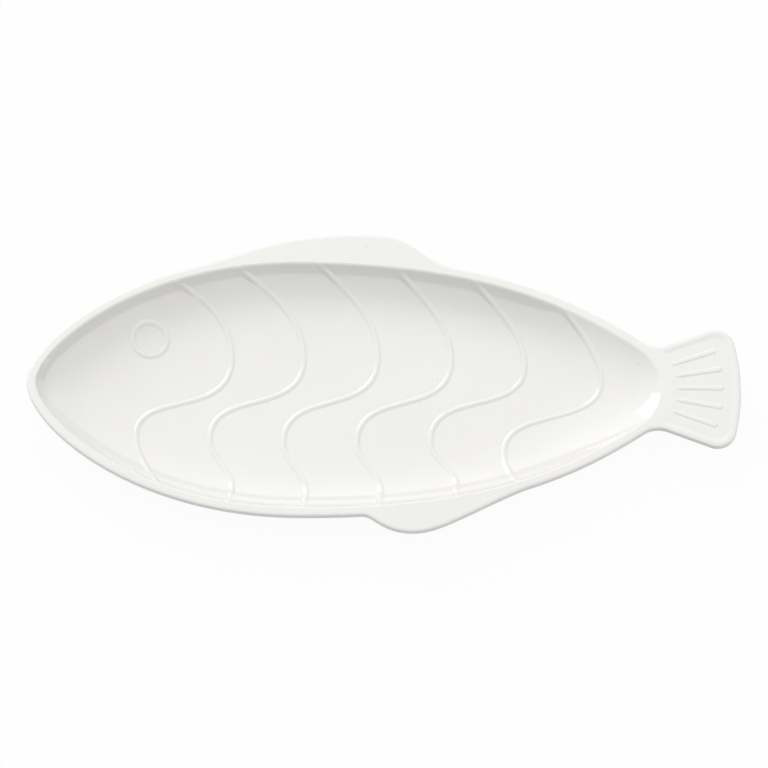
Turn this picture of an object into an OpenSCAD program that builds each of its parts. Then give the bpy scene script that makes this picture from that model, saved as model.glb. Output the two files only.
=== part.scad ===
// Fish shaped serving platter in glazed stoneware. A smooth well lies inside a narrow rim, a back fin
// and a belly fin widen the rim, and a flared tail carries raised rays. Raised waves for the scales and
// a ring for the eye stand on the well. The platter rests on an unglazed foot ring.

/* [Body] */
// Length from the nose to the tip of the tail
platter_length = 480; // [420:1:560]
// Width of the body over its rim, without the fins
body_width = 195; // [160:1:230]
// Distance from the nose to the widest place of the body
widest_at = 183; // [150:1:220]
// Fullness of the nose, as the length of the outline's handle there
nose_fullness = 25; // [18:1:32]
// Radius of the round end of the well beside the tail
well_end_radius = 35; // [28:1:42]

/* [Well] */
// Depth of the well below the rim
well_depth = 20; // [14:0.5:28]
// Distance from the edge of the well over which its wall flattens into the floor
wall_run = 40; // [28:1:50]
// Same distance at the end of the well beside the tail, where the wall is less steep
tail_wall_run = 75; // [60:1:90]
// Length before the end of the well over which the wall gets less steep
tail_wall_length = 100; // [80:1:140]
// Thickness of the floor
floor_thickness = 5; // [3.5:0.1:8]

/* [Rim] */
// Width of the rim around the well
rim_width = 6; // [4.5:0.1:9]
// Thickness of the rim, the fins and the tail
rim_thickness = 5; // [3.5:0.1:7]
// Rounding of the outer edges
edge_round = 2; // [0.8:0.1:2.4]
// Ease of the edge where the rim turns down into the well
lip_ease = 1; // [0.6:0.1:3]

/* [Back fin] */
// Distance from the nose to the front of the back fin
back_fin_start = 114; // [90:1:130]
// Length of the slow rise at the front of the back fin
back_fin_rise_length = 124; // [100:1:140]
// Length of the quick fall at the rear of the back fin
back_fin_fall_length = 48; // [40:1:60]
// Height of the back fin beyond the rim
back_fin_height = 17.5; // [8:0.5:22]

/* [Belly fin] */
// Distance from the rear of the belly fin to the end of the well
belly_fin_to_tail = 93; // [70:1:110]
// Length of the quick rise at the front of the belly fin
belly_fin_rise_length = 40; // [32:1:50]
// Length of the slow fall at the rear of the belly fin
belly_fin_fall_length = 70; // [56:1:84]
// Height of the belly fin beyond the rim
belly_fin_height = 15.5; // [8:0.5:22]

/* [Tail] */
// Length from the end of the well to the tip of the tail
tail_length = 53.6; // [44:0.2:66]
// Angle at which each side of the tail flares
tail_flare = 21.3; // [14:0.1:27]
// Radius of the hollow at each side of the neck
neck_radius = 16.5; // [12:0.5:22]
// Radius of the corners of the tail
tail_corner_radius = 13; // [8:0.5:14]
// Radius of the slightly round end of the tail
tail_end_radius = 150; // [120:1:240]
// Width of the raised border along the tail
tail_border = 4.5; // [3:0.1:6]
// Depth of the tail's field below its border
tail_field_depth = 0.6; // [0.3:0.1:1.2]

/* [Tail rays] */
// Angle from one ray to the next
ray_angle = 10; // [7:0.5:11]
// Distance from the end of the well back to the point that the rays spread from
ray_spread_point = 40; // [30:1:50]
// Distance from the rim to the start of a ray
ray_gap = 4; // [2.5:0.1:8]
// Distance from the end of the middle ray to the tip of the tail
ray_tip_gap = 11; // [9:0.5:16]
// Width of a ray
ray_width = 4.6; // [2:0.1:5]
// Height of a ray above the tail's field
ray_height = 0.9; // [0.5:0.1:1.4]

/* [Scale waves] */
// Distance from the nose to the middle of the first wave
first_wave_from_nose = 106; // [96:1:120]
// Distance from the middle of the last wave to the end of the well
last_wave_to_end = 73; // [64:1:90]
// Sideways swing of a wave from bend to bend
wave_swing = 61.7; // [50:0.1:76]
// Width of the raised line
wave_width = 4; // [2.5:0.1:6]
// Height of the raised line
wave_height = 0.8; // [0.6:0.1:1.6]

/* [Eye] */
// Distance from the nose to the middle of the eye
eye_from_nose = 81; // [70:0.5:92]
// Distance from the edge of the well to the middle of the eye, across the body
eye_from_edge = 30; // [24:1:38]
// Diameter of the eye at the crest of its ring
eye_diameter = 23.2; // [16:0.1:28]
// Width of the eye's ring
eye_ring_width = 4; // [2.5:0.1:6]
// Height of the eye's ring
eye_ring_height = 0.8; // [0.6:0.1:1.6]

/* [Foot] */
// Distance from the nose to the front of the foot ring
foot_from_nose = 92; // [80:1:110]
// Length of the foot ring
foot_length = 238; // [190:1:260]
// Width of the foot ring over all
foot_width = 84; // [64:1:100]
// Width of the band that stands on the table
foot_band = 6; // [4:0.1:9]
// Height of the foot ring
foot_height = 3; // [2:0.1:5]

/* [Hidden] */

// Colours of the glaze and of the bare clay under the foot
glaze_colour = [0.95, 0.945, 0.93];
clay_colour = [0.86, 0.82, 0.75];

// How many waves and rays there are
wave_count = 6;
ray_count = 5;

// Thickness of the slip that a raised line is stuck down with, and the thin edge of such a line
slip = 0.25;
feather = 0.2;
// Least height at which a fin, or the hollow of the tail's neck, starts to stand out from the rim
fin_edge = 0.25;
neck_edge = 0.5;

// Fineness of the facets: along the front, the rear and the round end of the outline, across the well
// and the underside, along a wave, around the eye and the foot, and around the tail's corners, end and sides
front_steps = 24;
rear_steps = 40;
end_steps = 7;
well_steps = 24;
under_steps = 16;
wave_steps = 38;
eye_steps = 36;
foot_steps = 96;
corner_steps = 6;
tail_end_steps = 5;
side_steps = 4;
// Turns of an edge's rounding, from the flat to the upright side
round_turns = [0, 30, 60, 90];
// Same for a fin, which starts just off its flat so that no two points meet
fin_turns = [8, 36, 64, 90];
// Places across a raised line, as shares of half its width
line_places = [-1, -0.45, 0.45, 1];
$fn = 64;

// Heights
rim_top = foot_height + floor_thickness + well_depth;
rim_under = rim_top - rim_thickness;
under_drop = well_depth + floor_thickness - rim_thickness;
// Largest shares of the rim's thickness and width that a rounding takes, so that a flat is left between the
// edges, and largest share of the rest of its top that the ease of the lip takes
round_of_thickness = 0.45;
round_of_width = 0.4;
ease_of_top = 0.8;
edge_radius = min(edge_round, round_of_thickness * rim_thickness, round_of_width * rim_width);
ease = min(lip_ease, ease_of_top * (rim_width - edge_radius));
// The wall leaves the rim's underside halfway across it
wall_root = rim_width / 2;

// Outline of the well: a curve from the nose to the widest place, a curve to the round end, and that end
half_width = body_width / 2 - rim_width;
well_end = platter_length - tail_length;
end_turn = 55;
end_centre = [well_end - well_end_radius, 0];
end_join = end_centre + well_end_radius * turned(end_turn);
rear_run = end_join.x - widest_at;
cheek_share = 0.63;
flank_share = 0.57;
haunch_share = 0.22;
front_curve = [
    [rim_width, 0],
    [rim_width, nose_fullness],
    [widest_at - cheek_share * (widest_at - rim_width), half_width],
    [widest_at, half_width]
];
rear_curve = [
    [widest_at, half_width],
    [widest_at + flank_share * rear_run, half_width],
    end_join - haunch_share * rear_run * turned(end_turn - 90),
    end_join
];

// Outlines of the fins as height beyond the rim along the body. Each handle is a share of the length and
// height of the rise or fall that it shapes, and each shoulder a share of its length.
back_front_handle = [0.22, 0.02];
back_front_shoulder = 0.52;
back_rear_shoulder = 0.37;
back_rear_handle = [0.6, 0];
belly_front_handle = [0.18, 0.06];
belly_front_shoulder = 0.48;
belly_rear_shoulder = 0.26;
belly_rear_handle = [0.57, 0.19];
back_fin_peak = back_fin_start + back_fin_rise_length;
belly_fin_end = well_end - belly_fin_to_tail;
belly_fin_peak = belly_fin_end - belly_fin_fall_length;
belly_fin_start = belly_fin_peak - belly_fin_rise_length;
back_fin_rise = rise(
    back_fin_start, back_fin_rise_length, back_fin_height, back_front_handle, back_front_shoulder);
back_fin_fall = fall(
    back_fin_peak, back_fin_fall_length, back_fin_height, back_rear_shoulder, back_rear_handle);
belly_fin_rise = rise(
    belly_fin_start, belly_fin_rise_length, belly_fin_height, belly_front_handle, belly_front_shoulder);
belly_fin_fall = fall(
    belly_fin_peak, belly_fin_fall_length, belly_fin_height, belly_rear_shoulder, belly_rear_handle);

// Path of a wave: handles of four curves that join at its bends, as shares of half the swing along the
// body, and across it as shares of half the body's own width there, rim included. Its lower end bends once
// more or runs straight to the lip.
wave_top = [
    [-0.76, 0.985], [0.05, 0.895], [1, 0.67],
    [1, 0.31], [1, -0.18], [-1, 0.08]
];
wave_bent_end = [
    [-1, -0.36], [-1, -0.5], [-0.5, -0.6],
    [-0.5, -0.75], [-0.5, -0.84], [-0.55, -0.92],
    [-0.61, -1]
];
wave_straight_end = [
    [-1, -0.39], [-1, -0.54], [-0.9, -0.66],
    [-0.81, -0.77], [-0.74, -0.855], [-0.67, -0.93],
    [-0.61, -1]
];
wave_ends = [
    wave_straight_end, wave_bent_end, wave_bent_end,
    wave_bent_end, wave_bent_end, wave_straight_end
];
wave_curves = 4;
// How far the top of each wave leans towards the tail, how far its middle hangs towards the belly, and how
// far its lower end is kicked towards the tail beyond a share of the half width
wave_lean = [0, -7, 0, 3, 5, 20];
wave_drop = [1.5, 0, 0, 0, 0, 11.5];
wave_kick = [8.5, -1.7, -1.2, 0, 2.8, -2];
kick_from = 0.55;
// Short way along a wave over which its direction is taken
wave_nudge = 0.002;
wave_pitch = (well_end - last_wave_to_end - first_wave_from_nose) / (wave_count - 1);

// The eye, the tail's neck and end, and the rays
eye_centre = [eye_from_nose, outline(eye_from_nose)[0] - eye_from_edge];
neck_reach = well_end_radius + rim_width;
neck_distance = neck_reach + neck_radius;
neck_centre = end_centre + neck_distance * turned(end_turn);
neck_start = neck_reach + neck_edge;
neck_turn = acos((pow(neck_distance, 2) + pow(neck_radius, 2) - pow(neck_start, 2))
    / (2 * neck_distance * neck_radius));
tail_end_centre = [platter_length - tail_end_radius, 0];
side_way = turned(tail_flare);
side_inward = turned(tail_flare - 90);
side_start = neck_centre + neck_radius * side_inward;
corner_centre = along_side(tail_corner_radius, tail_end_centre, tail_end_radius - tail_corner_radius);
corner_turn = atan2(corner_centre.y, corner_centre.x - tail_end_centre.x);
side_end = corner_centre - tail_corner_radius * side_inward;
field_reach = neck_reach + ray_gap / 2;
ray_start = ray_spread_point + rim_width + ray_gap;
ray_end = ray_spread_point + tail_length - ray_tip_gap;

// The foot, and the flat of the underside that reaches as far as the foot does
foot_centre = [foot_from_nose + foot_length / 2, 0];
foot_edge = ellipse(foot_length / 2, foot_width / 2);
under_run = min([for (p = foot_edge) under_distance(p + foot_centre) / flatter(p.x + foot_centre.x)]);

// Places along the outline, and the whole way around it with the height of any fin there
places = concat(
    [for (i = [0:front_steps - 1]) rim_width + (widest_at - rim_width) * (1 - cos(90 * i / front_steps))],
    [for (i = [0:rear_steps - 1]) widest_at + rear_run * i / rear_steps],
    [for (i = [0:end_steps]) end_centre.x + well_end_radius * cos(end_turn * (1 - i / end_steps))]
);
last_place = len(places) - 1;
around = concat(
    [for (i = [0:last_place]) station(places[i], 1)],
    [for (i = [last_place - 1:-1:1]) station(places[i], -1)]
);

// Middle of the whole width, fins included, so that the origin lies below the middle of the platter
outer_y = [for (s = around) s.y + (rim_width + fin_height(s)) * s[3]];
middle_y = (max(outer_y) + min(outer_y)) / 2;

// Point and slope of a cubic curve
function cubic(c, t) =
    pow(1 - t, 3) * c[0] + 3 * pow(1 - t, 2) * t * c[1] + 3 * (1 - t) * t * t * c[2] + pow(t, 3) * c[3];
function cubic_slope(c, t) =
    3 * pow(1 - t, 2) * (c[1] - c[0]) + 6 * (1 - t) * t * (c[2] - c[1]) + 3 * t * t * (c[3] - c[2]);

// Place on a cubic curve that runs steadily along x
function place_at(c, x, low = 0, high = 1, turns = 32) =
    let (middle = (low + high) / 2)
    turns == 0 ? middle
    : cubic(c, middle).x < x ? place_at(c, x, middle, high, turns - 1)
    : place_at(c, x, low, middle, turns - 1);

// Rise of a fin from the rim to its peak, and its fall back to the rim
function rise(start, length, height, lead, shoulder) = [
    [start, 0],
    [start + lead.x * length, lead.y * height],
    [start + shoulder * length, height],
    [start + length, height]
];
function fall(peak, length, height, shoulder, lead) = [
    [peak, height],
    [peak + shoulder * length, height],
    [peak + lead.x * length, lead.y * height],
    [peak + length, 0]
];

// Half width of the well at x, with the cosine and sine of the outline's direction there
function curve_outline(c, x) =
    let (t = place_at(c, x), slope = cubic_slope(c, t))
    [cubic(c, t).y, slope.x / norm(slope), slope.y / norm(slope)];
function end_outline(x) =
    let (along = x - end_centre.x, half = sqrt(max(0, pow(well_end_radius, 2) - along * along)))
    [half, half / well_end_radius, -along / well_end_radius];
function outline(x) =
    x < widest_at ? curve_outline(front_curve, x)
    : x < end_join.x ? curve_outline(rear_curve, x)
    : end_outline(x);

// Place on the outline: x, y and the direction that points out of the well, on the back or belly side
function station(x, side) = let (o = outline(x)) [x, side * o[0], -o[2], side * o[1]];

// Height of the back fin or the belly fin at a place on the outline, and the same for the rim's section,
// which also stands square against the tail
function curve_height(up, down, x) =
    x <= up[0].x || x >= down[3].x ? 0
    : x < up[3].x ? cubic(up, place_at(up, x)).y
    : cubic(down, place_at(down, x)).y;
function fin_height(s) =
    let (height = s.y > 0 ? curve_height(back_fin_rise, back_fin_fall, s.x)
        : curve_height(belly_fin_rise, belly_fin_fall, s.x))
    height > fin_edge ? height : 0;
function square_height(s) = s.x > end_join.x + fin_edge ? edge_radius : fin_height(s);

// Distance in from an edge, measured so that it is true at the edge and smooth across the body
function distance_in(half, direction, y) = (half * half - y * y) * direction / (2 * half);
function well_distance(p) = let (o = outline(p.x)) distance_in(o[0], o[1], p.y);
function under_distance(p) = let (o = outline(p.x)) distance_in(o[0] + wall_root * o[1], o[1], p.y);

// How many times longer than elsewhere the wall's run is at x, for its smooth rise towards the tail
function flatter(x) =
    let (s = min(max(1 - (well_end - x) / tail_wall_length, 0), 1))
    1 + (tail_wall_run / wall_run - 1) * s * s * (3 - 2 * s);

// Share of the full depth at a distance in from an edge, the ease over the lip, and heights at x
function share_of_depth(d, run) = 1 - pow(1 - min(max(d, 0), run) / run, 3);
function eased(d) = d > ease ? d : d < -ease ? 0 : pow(d + ease, 2) / (4 * ease);
function well_height(x, d) = rim_top - well_depth * share_of_depth(eased(d), wall_run * flatter(x));
function under_height(x, d) = rim_under - under_drop * share_of_depth(d, under_run * flatter(x));

// Drop of a rounded edge at a distance in from it
function edge_drop(d) =
    d >= edge_radius ? 0 : edge_radius - sqrt(pow(edge_radius, 2) - pow(edge_radius - d, 2));

// Direction at an angle, and a point on the other side of the fish's axis
function turned(angle) = [cos(angle), sin(angle)];
function mirrored(p) = [p.x, -p.y];

// Points of a circular arc and of an ellipse
function arc(centre, radius, from, to, steps) =
    [for (i = [0:steps]) let (a = from + (to - from) * i / steps) centre + radius * [cos(a), sin(a)]];
function ellipse(a, b) =
    [for (i = [0:foot_steps - 1]) let (t = 360 * i / foot_steps) [a * cos(t), b * sin(t)]];

// Point beside the tail's flared side, at a distance in from it and a reach from a centre
function along_side(inward, centre, reach) =
    let (from = side_start + inward * side_inward - centre, way = from * side_way)
    centre + from + (sqrt(way * way - from * from + reach * reach) - way) * side_way;

// Half of the tail's outline, from its tip to the neck, each with the direction that points out of it
tail_half = concat(
    [for (i = [0:tail_end_steps - 1])
        let (out = turned(corner_turn * i / tail_end_steps)) [tail_end_centre + tail_end_radius * out, out]],
    [for (i = [0:corner_steps])
        let (out = turned(corner_turn + (tail_flare + 90 - corner_turn) * i / corner_steps))
        [corner_centre + tail_corner_radius * out, out]],
    [for (i = [1:side_steps - 1])
        [side_end + (side_start - side_end) * i / side_steps, -side_inward]],
    [for (i = [0:corner_steps])
        let (in = turned(tail_flare - 90 + (end_turn + neck_turn - 90 - tail_flare) * i / corner_steps))
        [neck_centre + neck_radius * in, -in]]
);

tail_edge = concat(
    [for (i = [len(tail_half) - 1:-1:1]) [mirrored(tail_half[i][0]), mirrored(tail_half[i][1])]],
    tail_half
);

// Tail outline drawn in by an amount, which fades where the neck runs out against the rim, and then back
// along the rim's outer face
function from_end(p) = norm(p - end_centre);
function drawn_in(edge, inset) = edge[0] - edge[1] * min(inset, (from_end(edge[0]) - neck_reach) / 2);
function against_rim(p) = end_centre + neck_reach * (p - end_centre) / from_end(p);
function tail_ring(inset) = concat(
    [for (edge = tail_edge) drawn_in(edge, inset)],
    [for (i = [len(tail_edge) - 1:-1:0]) against_rim(tail_edge[i][0])]
);
function at_height(ring, z) = [for (p = ring) [p.x, p.y, z]];

// Section of the rim: underside, rounded outer edge, top and lip, as distances out from the well and heights
function rim_section(x, height) = concat(
    [[wall_root, rim_under]],
    [for (a = round_turns) let (in = edge_radius * (1 - sin(a)))
        [rim_width - in, rim_under + edge_drop(height + in)]],
    [for (i = [len(round_turns) - 1:-1:0]) let (in = edge_radius * (1 - sin(round_turns[i])))
        [rim_width - in, rim_top - edge_drop(height + in)]],
    [for (out = [ease, ease / 2, 0]) [out, well_height(x, -out)]]
);

// Section of a fin: from the rim out along the underside, around its edge and back along its top
function fin_section(height) =
    let (reach = rim_width + height, turn = min(height, edge_radius))
    concat(
        [[rim_width, rim_under + edge_drop(height)]],
        [for (a = fin_turns) let (in = turn * (1 - sin(a))) [reach - in, rim_under + edge_drop(in)]],
        [for (i = [len(fin_turns) - 1:-1:0]) let (in = turn * (1 - sin(fin_turns[i])))
            [reach - in, rim_top - edge_drop(in)]],
        [[rim_width, rim_top - edge_drop(height)]]
    );

// A section stood up at a place on the outline
function stood(section, s) = [for (p = section) [s.x + p.x * s[2], s.y + p.x * s[3], p.y]];

// Point and direction of a wave, numbered from the nose, at a place counted along its four curves
function wave_share(number, along) =
    let (path = concat(wave_top, wave_ends[number - 1]), curve = min(floor(along), wave_curves - 1))
    cubic([for (i = [0:3]) path[3 * curve + i]], along - curve);
function wave_point(number, along) =
    let (share = wave_share(number, along))
    let (lean = wave_lean[number - 1] * pow(max(share.y, 0), 2))
    let (kick = wave_kick[number - 1] * max(-share.y - kick_from, 0) / (1 - kick_from))
    let (x = first_wave_from_nose + (number - 1) * wave_pitch + share.x * wave_swing / 2 + lean + kick)
    [x, share.y * (outline(x)[0] + rim_width) - wave_drop[number - 1] * (1 - pow(share.y, 2))];
function wave_direction(number, along) =
    let (way = wave_point(number, along + wave_nudge) - wave_point(number, along - wave_nudge))
    way / norm(way);

// Where a wave runs out against the lip, between a place inside the well and a place outside it
function wave_limit(number, inside, outside, turns = 24) =
    let (half = (inside + outside) / 2)
    turns == 0 ? inside
    : well_distance(wave_point(number, half)) > ease ? wave_limit(number, half, outside, turns - 1)
    : wave_limit(number, inside, half, turns - 1);

// Section of a raised line on the well at a point, across its direction
function line_section(point, way, width, height) =
    let (left = [-way.y, way.x] * width / 2)
    concat(
        [for (u = line_places) on_well(point + u * left, slip)],
        [for (u = line_places)
            on_well(point - u * left, slip + feather + (height - slip - feather) * (1 - pow(u, 4)))]
    );
function on_well(p, lift) = [p.x, p.y, well_height(p.x, well_distance(p)) + lift];

// Faces between rings of points, and the two ends of an open row of rings. The first half of a ring's
// points lies across from the second half, so that an end is a ladder of triangles between them.
function ring_faces(rings, size, closed) = [
    for (i = [0:rings - (closed ? 1 : 2)])
    for (j = [0:size - 1])
    let (here = i * size, next = ((i + 1) % rings) * size, k = (j + 1) % size)
    for (face = [[here + j, next + j, next + k], [here + j, next + k, here + k]])
    face
];
function ladder_faces(size) = [
    for (j = [0:size / 2 - 2])
    for (face = [[j, j + 1, size - 2 - j], [j, size - 2 - j, size - 1 - j]])
    face
];
function end_faces(rings, size) = concat(
    ladder_faces(size),
    [for (face = turned_over(ladder_faces(size))) face + (rings - 1) * size * [1, 1, 1]]
);

// Faces from one section of the dish to the two points, under and over, that close it at an end
function close_faces(first, under, over) = concat(
    [for (j = [0:under_steps - 1]) [first + j, first + j + 1, under]],
    [for (j = [under_steps + 1:under_steps + well_steps]) [first + j, first + j + 1, over]],
    [[first + under_steps, first + under_steps + 1, over]],
    [[first + under_steps, over, under]],
    [[first + under_steps + well_steps + 1, first, under]],
    [[first + under_steps + well_steps + 1, under, over]]
);
function turned_over(faces) = [for (face = faces) [face[2], face[1], face[0]]];

// Section of the dish across the body: underside from the belly to the back, then the well back again
function dish_section(x) =
    let (o = outline(x), under_half = o[0] + wall_root * o[1], under_x = x - wall_root * o[2])
    concat(
        [for (j = [0:under_steps]) let (y = -under_half * cos(180 * j / under_steps))
            [under_x, y, under_height(x, distance_in(under_half, o[1], y))]],
        [for (j = [0:well_steps]) let (y = o[0] * cos(180 * j / well_steps))
            [x, y, well_height(x, distance_in(o[0], o[1], y))]]
    );

// A solid through rings of points, open or closed on itself
module skin(rings, closed = false) {
    count = len(rings);
    size = len(rings[0]);
    polyhedron(
        points = [for (ring = rings) for (p = ring) p],
        faces = concat(ring_faces(count, size, closed), closed ? [] : end_faces(count, size))
    );
}

// Moves the platter from its nose on the axis to its middle over the origin
module centred() {
    translate([-platter_length / 2, -middle_y, 0])
        children();
}

// Shell of the well, closed at the nose and at the tail's end
module dish() {
    sections = [for (i = [1:last_place - 1]) dish_section(places[i])];
    count = len(sections);
    size = len(sections[0]);
    nose = [[rim_width - wall_root, 0, rim_under], [rim_width, 0, well_height(rim_width, 0)]];
    end = [[well_end + wall_root, 0, rim_under], [well_end, 0, well_height(well_end, 0)]];
    first_pole = count * size;
    color(glaze_colour)
        centred()
            polyhedron(
                points = concat([for (section = sections) for (p = section) p], nose, end),
                faces = concat(
                    ring_faces(count, size, false),
                    close_faces(0, first_pole, first_pole + 1),
                    turned_over(close_faces((count - 1) * size, first_pole + 2, first_pole + 3))
                )
            );
}

// Band around the well, rounded outside where nothing joins it
module rim() {
    color(glaze_colour)
        centred()
            skin([for (s = around) stood(rim_section(s.x, square_height(s)), s)], closed = true);
}

// Fin on one side of the body
module fin(side) {
    stations = [for (s = around) if (s.y * side > 0 && fin_height(s) > 0) s];
    color(glaze_colour)
        centred()
            skin([for (s = stations) stood(fin_section(fin_height(s)), s)]);
}

// Flared tail with a sunken field inside its border
module tail_fin() {
    turns = len(round_turns) - 1;
    under_rings = [for (a = round_turns)
        at_height(tail_ring(edge_radius * (1 - sin(a))), rim_under + edge_radius * (1 - cos(a)))];
    top_rings = [for (i = [turns:-1:0]) let (a = round_turns[i])
        at_height(tail_ring(edge_radius * (1 - sin(a))), rim_top - edge_radius * (1 - cos(a)))];
    color(glaze_colour)
        centred()
            difference() {
                skin(concat(under_rings, top_rings));
                translate([0, 0, rim_top - tail_field_depth])
                    linear_extrude(height = 2 * tail_field_depth)
                        tail_field();
            }
}

// Outline of the field inside the tail's border
module tail_field() {
    start = along_side(tail_border, end_centre, field_reach);
    start_turn = atan2(start.y, start.x - end_centre.x);
    inner_corner = tail_corner_radius - tail_border;
    upper = concat(
        arc(tail_end_centre, tail_end_radius - tail_border, 0, corner_turn, tail_end_steps),
        arc(corner_centre, inner_corner, corner_turn, tail_flare + 90, corner_steps)
    );
    polygon(concat(
        upper,
        arc(end_centre, field_reach, start_turn, -start_turn, 2 * end_steps),
        [for (i = [len(upper) - 1:-1:1]) mirrored(upper[i])]
    ));
}

// One raised ray of the tail, counted from the belly side
module tail_ray(number) {
    bar_radius = (pow(ray_width / 2, 2) + pow(ray_height, 2)) / (2 * ray_height);
    inset = ray_width / 2;
    color(glaze_colour)
        centred()
            translate([well_end - ray_spread_point, 0, rim_top - tail_field_depth])
                rotate([0, 0, (number - (ray_count + 1) / 2) * ray_angle])
                    difference() {
                        translate([0, 0, ray_height - bar_radius]) {
                            translate([ray_start + inset, 0, 0])
                                rotate([0, 90, 0])
                                    cylinder(r = bar_radius, h = ray_end - ray_start - 2 * inset);
                            translate([ray_start + inset, 0, 0])
                                sphere(r = bar_radius);
                            translate([ray_end - inset, 0, 0])
                                sphere(r = bar_radius);
                        }
                        translate([ray_start - ray_width, -ray_width, -2 * bar_radius])
                            cube([ray_end - ray_start + 2 * ray_width, 2 * ray_width, 2 * bar_radius]);
                    }
}

// One raised wave of the scales, counted from the nose
module scale_wave(number) {
    from = wave_limit(number, 1, 0);
    to = wave_limit(number, wave_curves / 2, wave_curves);
    color(glaze_colour)
        centred()
            skin([for (i = [0:wave_steps])
                let (along = from + (to - from) * i / wave_steps)
                let (point = wave_point(number, along), way = wave_direction(number, along))
                line_section(point, way, wave_width, wave_height)]);
}

// Raised ring of the eye
module eye_ring() {
    color(glaze_colour)
        centred()
            skin([for (i = [0:eye_steps - 1])
                let (out = turned(360 * i / eye_steps), point = eye_centre + eye_diameter / 2 * out)
                line_section(point, [-out.y, out.x], eye_ring_width, eye_ring_height)],
                closed = true);
}

// Unglazed ring that stands on the table
module foot_ring() {
    color(clay_colour)
        centred()
            translate([foot_centre.x, foot_centre.y, 0])
                linear_extrude(height = foot_height)
                    difference() {
                        polygon(foot_edge);
                        polygon(ellipse(foot_length / 2 - foot_band, foot_width / 2 - foot_band));
                    }
}

dish();
rim();
fin(1);  // back_fin
fin(-1);  // belly_fin
tail_fin();
eye_ring();
scale_wave(1);  // scale_wave_1
scale_wave(2);  // scale_wave_2
scale_wave(3);  // scale_wave_3
scale_wave(4);  // scale_wave_4
scale_wave(5);  // scale_wave_5
scale_wave(6);  // scale_wave_6
tail_ray(1);  // tail_ray_1
tail_ray(2);  // tail_ray_2
tail_ray(3);  // tail_ray_3
tail_ray(4);  // tail_ray_4
tail_ray(5);  // tail_ray_5
foot_ring();
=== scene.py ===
"""Fish shaped serving platter in white glazed stoneware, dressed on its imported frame.

All shapes are worked out in millimetres from the nose of the fish, with the fish's axis along x, its back
towards +y and the table at z = 0. They are carried into the frame when a piece is made.
"""

import logging
import math
from dataclasses import dataclass
from enum import Enum

import bpy
import numpy as np
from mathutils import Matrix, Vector


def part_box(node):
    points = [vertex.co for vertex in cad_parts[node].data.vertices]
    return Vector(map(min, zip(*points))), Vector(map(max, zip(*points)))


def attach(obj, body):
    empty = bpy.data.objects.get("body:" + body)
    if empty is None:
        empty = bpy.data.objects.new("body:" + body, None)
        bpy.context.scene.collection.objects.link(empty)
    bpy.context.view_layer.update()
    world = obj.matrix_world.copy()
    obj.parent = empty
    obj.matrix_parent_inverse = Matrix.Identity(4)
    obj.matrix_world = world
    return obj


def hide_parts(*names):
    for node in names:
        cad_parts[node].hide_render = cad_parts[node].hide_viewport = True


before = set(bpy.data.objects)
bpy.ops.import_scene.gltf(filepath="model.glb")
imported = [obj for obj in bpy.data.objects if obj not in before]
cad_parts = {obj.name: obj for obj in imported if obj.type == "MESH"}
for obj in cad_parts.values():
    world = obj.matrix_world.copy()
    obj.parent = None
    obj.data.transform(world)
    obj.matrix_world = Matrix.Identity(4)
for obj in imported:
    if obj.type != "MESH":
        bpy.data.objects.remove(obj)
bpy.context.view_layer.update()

LOG = logging.getLogger("fish_platter")
MILLIMETRE = 0.001
# Turns places on the back into those on the belly
MIRROR = np.array([1, -1])
WHITE = (1.0, 1.0, 1.0, 1.0)
# What an input of a node takes: an output to link, a number or a colour
Feed = bpy.types.NodeSocket | float | tuple[float, ...]


class Side(Enum):
    """The two long sides of the fish, as the sign of y."""

    BACK = 1
    BELLY = -1


class Slot(Enum):
    """The material slots of the record."""

    WHITE_GLAZE = "white_glaze"
    BARE_CLAY = "bare_clay"


def cubic(handles: np.ndarray, t: np.ndarray) -> np.ndarray:
    """Points of a cubic curve, the four handles weighted by the powers of t and 1 - t.

    Args:
        handles: four handles, one a row.
        t: places along the curve from 0 to 1.

    Returns:
        One point a row.
    """
    t = t[:, None]
    s = 1 - t
    return s**3 * handles[0] + 3 * s**2 * t * handles[1] + 3 * s * t**2 * handles[2] + t**3 * handles[3]


def cubic_slope(handles: np.ndarray, t: np.ndarray) -> np.ndarray:
    """Slopes of a cubic curve, from the differences of neighbouring handles.

    Args:
        handles: four handles, one a row.
        t: places along the curve from 0 to 1.

    Returns:
        One slope a row.
    """
    t = t[:, None]
    s = 1 - t
    steps = np.diff(handles, axis=0)
    return 3 * s**2 * steps[0] + 6 * s * t * steps[1] + 3 * t**2 * steps[2]


def unit(vectors: np.ndarray) -> np.ndarray:
    """Vectors along the last axis, brought to length 1."""
    return vectors / np.linalg.norm(vectors, axis=-1, keepdims=True)


def turned(degrees: np.ndarray | float) -> np.ndarray:
    """Directions in the plane at angles in degrees."""
    angle = np.radians(degrees)
    return np.stack([np.cos(angle), np.sin(angle)], axis=-1)


def smooth_step(value: np.ndarray, low: float, high: float) -> tuple[np.ndarray, np.ndarray]:
    """Smooth rise from 0 at low to 1 at high, 3 s squared less 2 s cubed, with its slope.

    Args:
        value: where the rise is read.
        low: value at which it starts.
        high: value at which it ends.

    Returns:
        The rise, and its slope over value.
    """
    s = np.clip((value - low) / (high - low), 0, 1)
    return s * s * (3 - 2 * s), 6 * s * (1 - s) / (high - low)


def grid_faces(
    rows: int, columns: int, round_rows: bool = False, round_columns: bool = False
) -> np.ndarray:
    """Quads of a grid of points that are counted along its rows.

    Args:
        rows: number of rows.
        columns: number of points in a row.
        round_rows: whether the last row joins the first one.
        round_columns: whether the last column joins the first one.

    Returns:
        Four indices a face.
    """
    row = np.arange(rows if round_rows else rows - 1)[:, None]
    column = np.arange(columns if round_columns else columns - 1)[None, :]
    here = row * columns
    after = (row + 1) % rows * columns
    beside = (column + 1) % columns
    corners = [here + column, after + column, after + beside, here + beside]
    return np.stack(corners, axis=-1).reshape(-1, 4)


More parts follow.
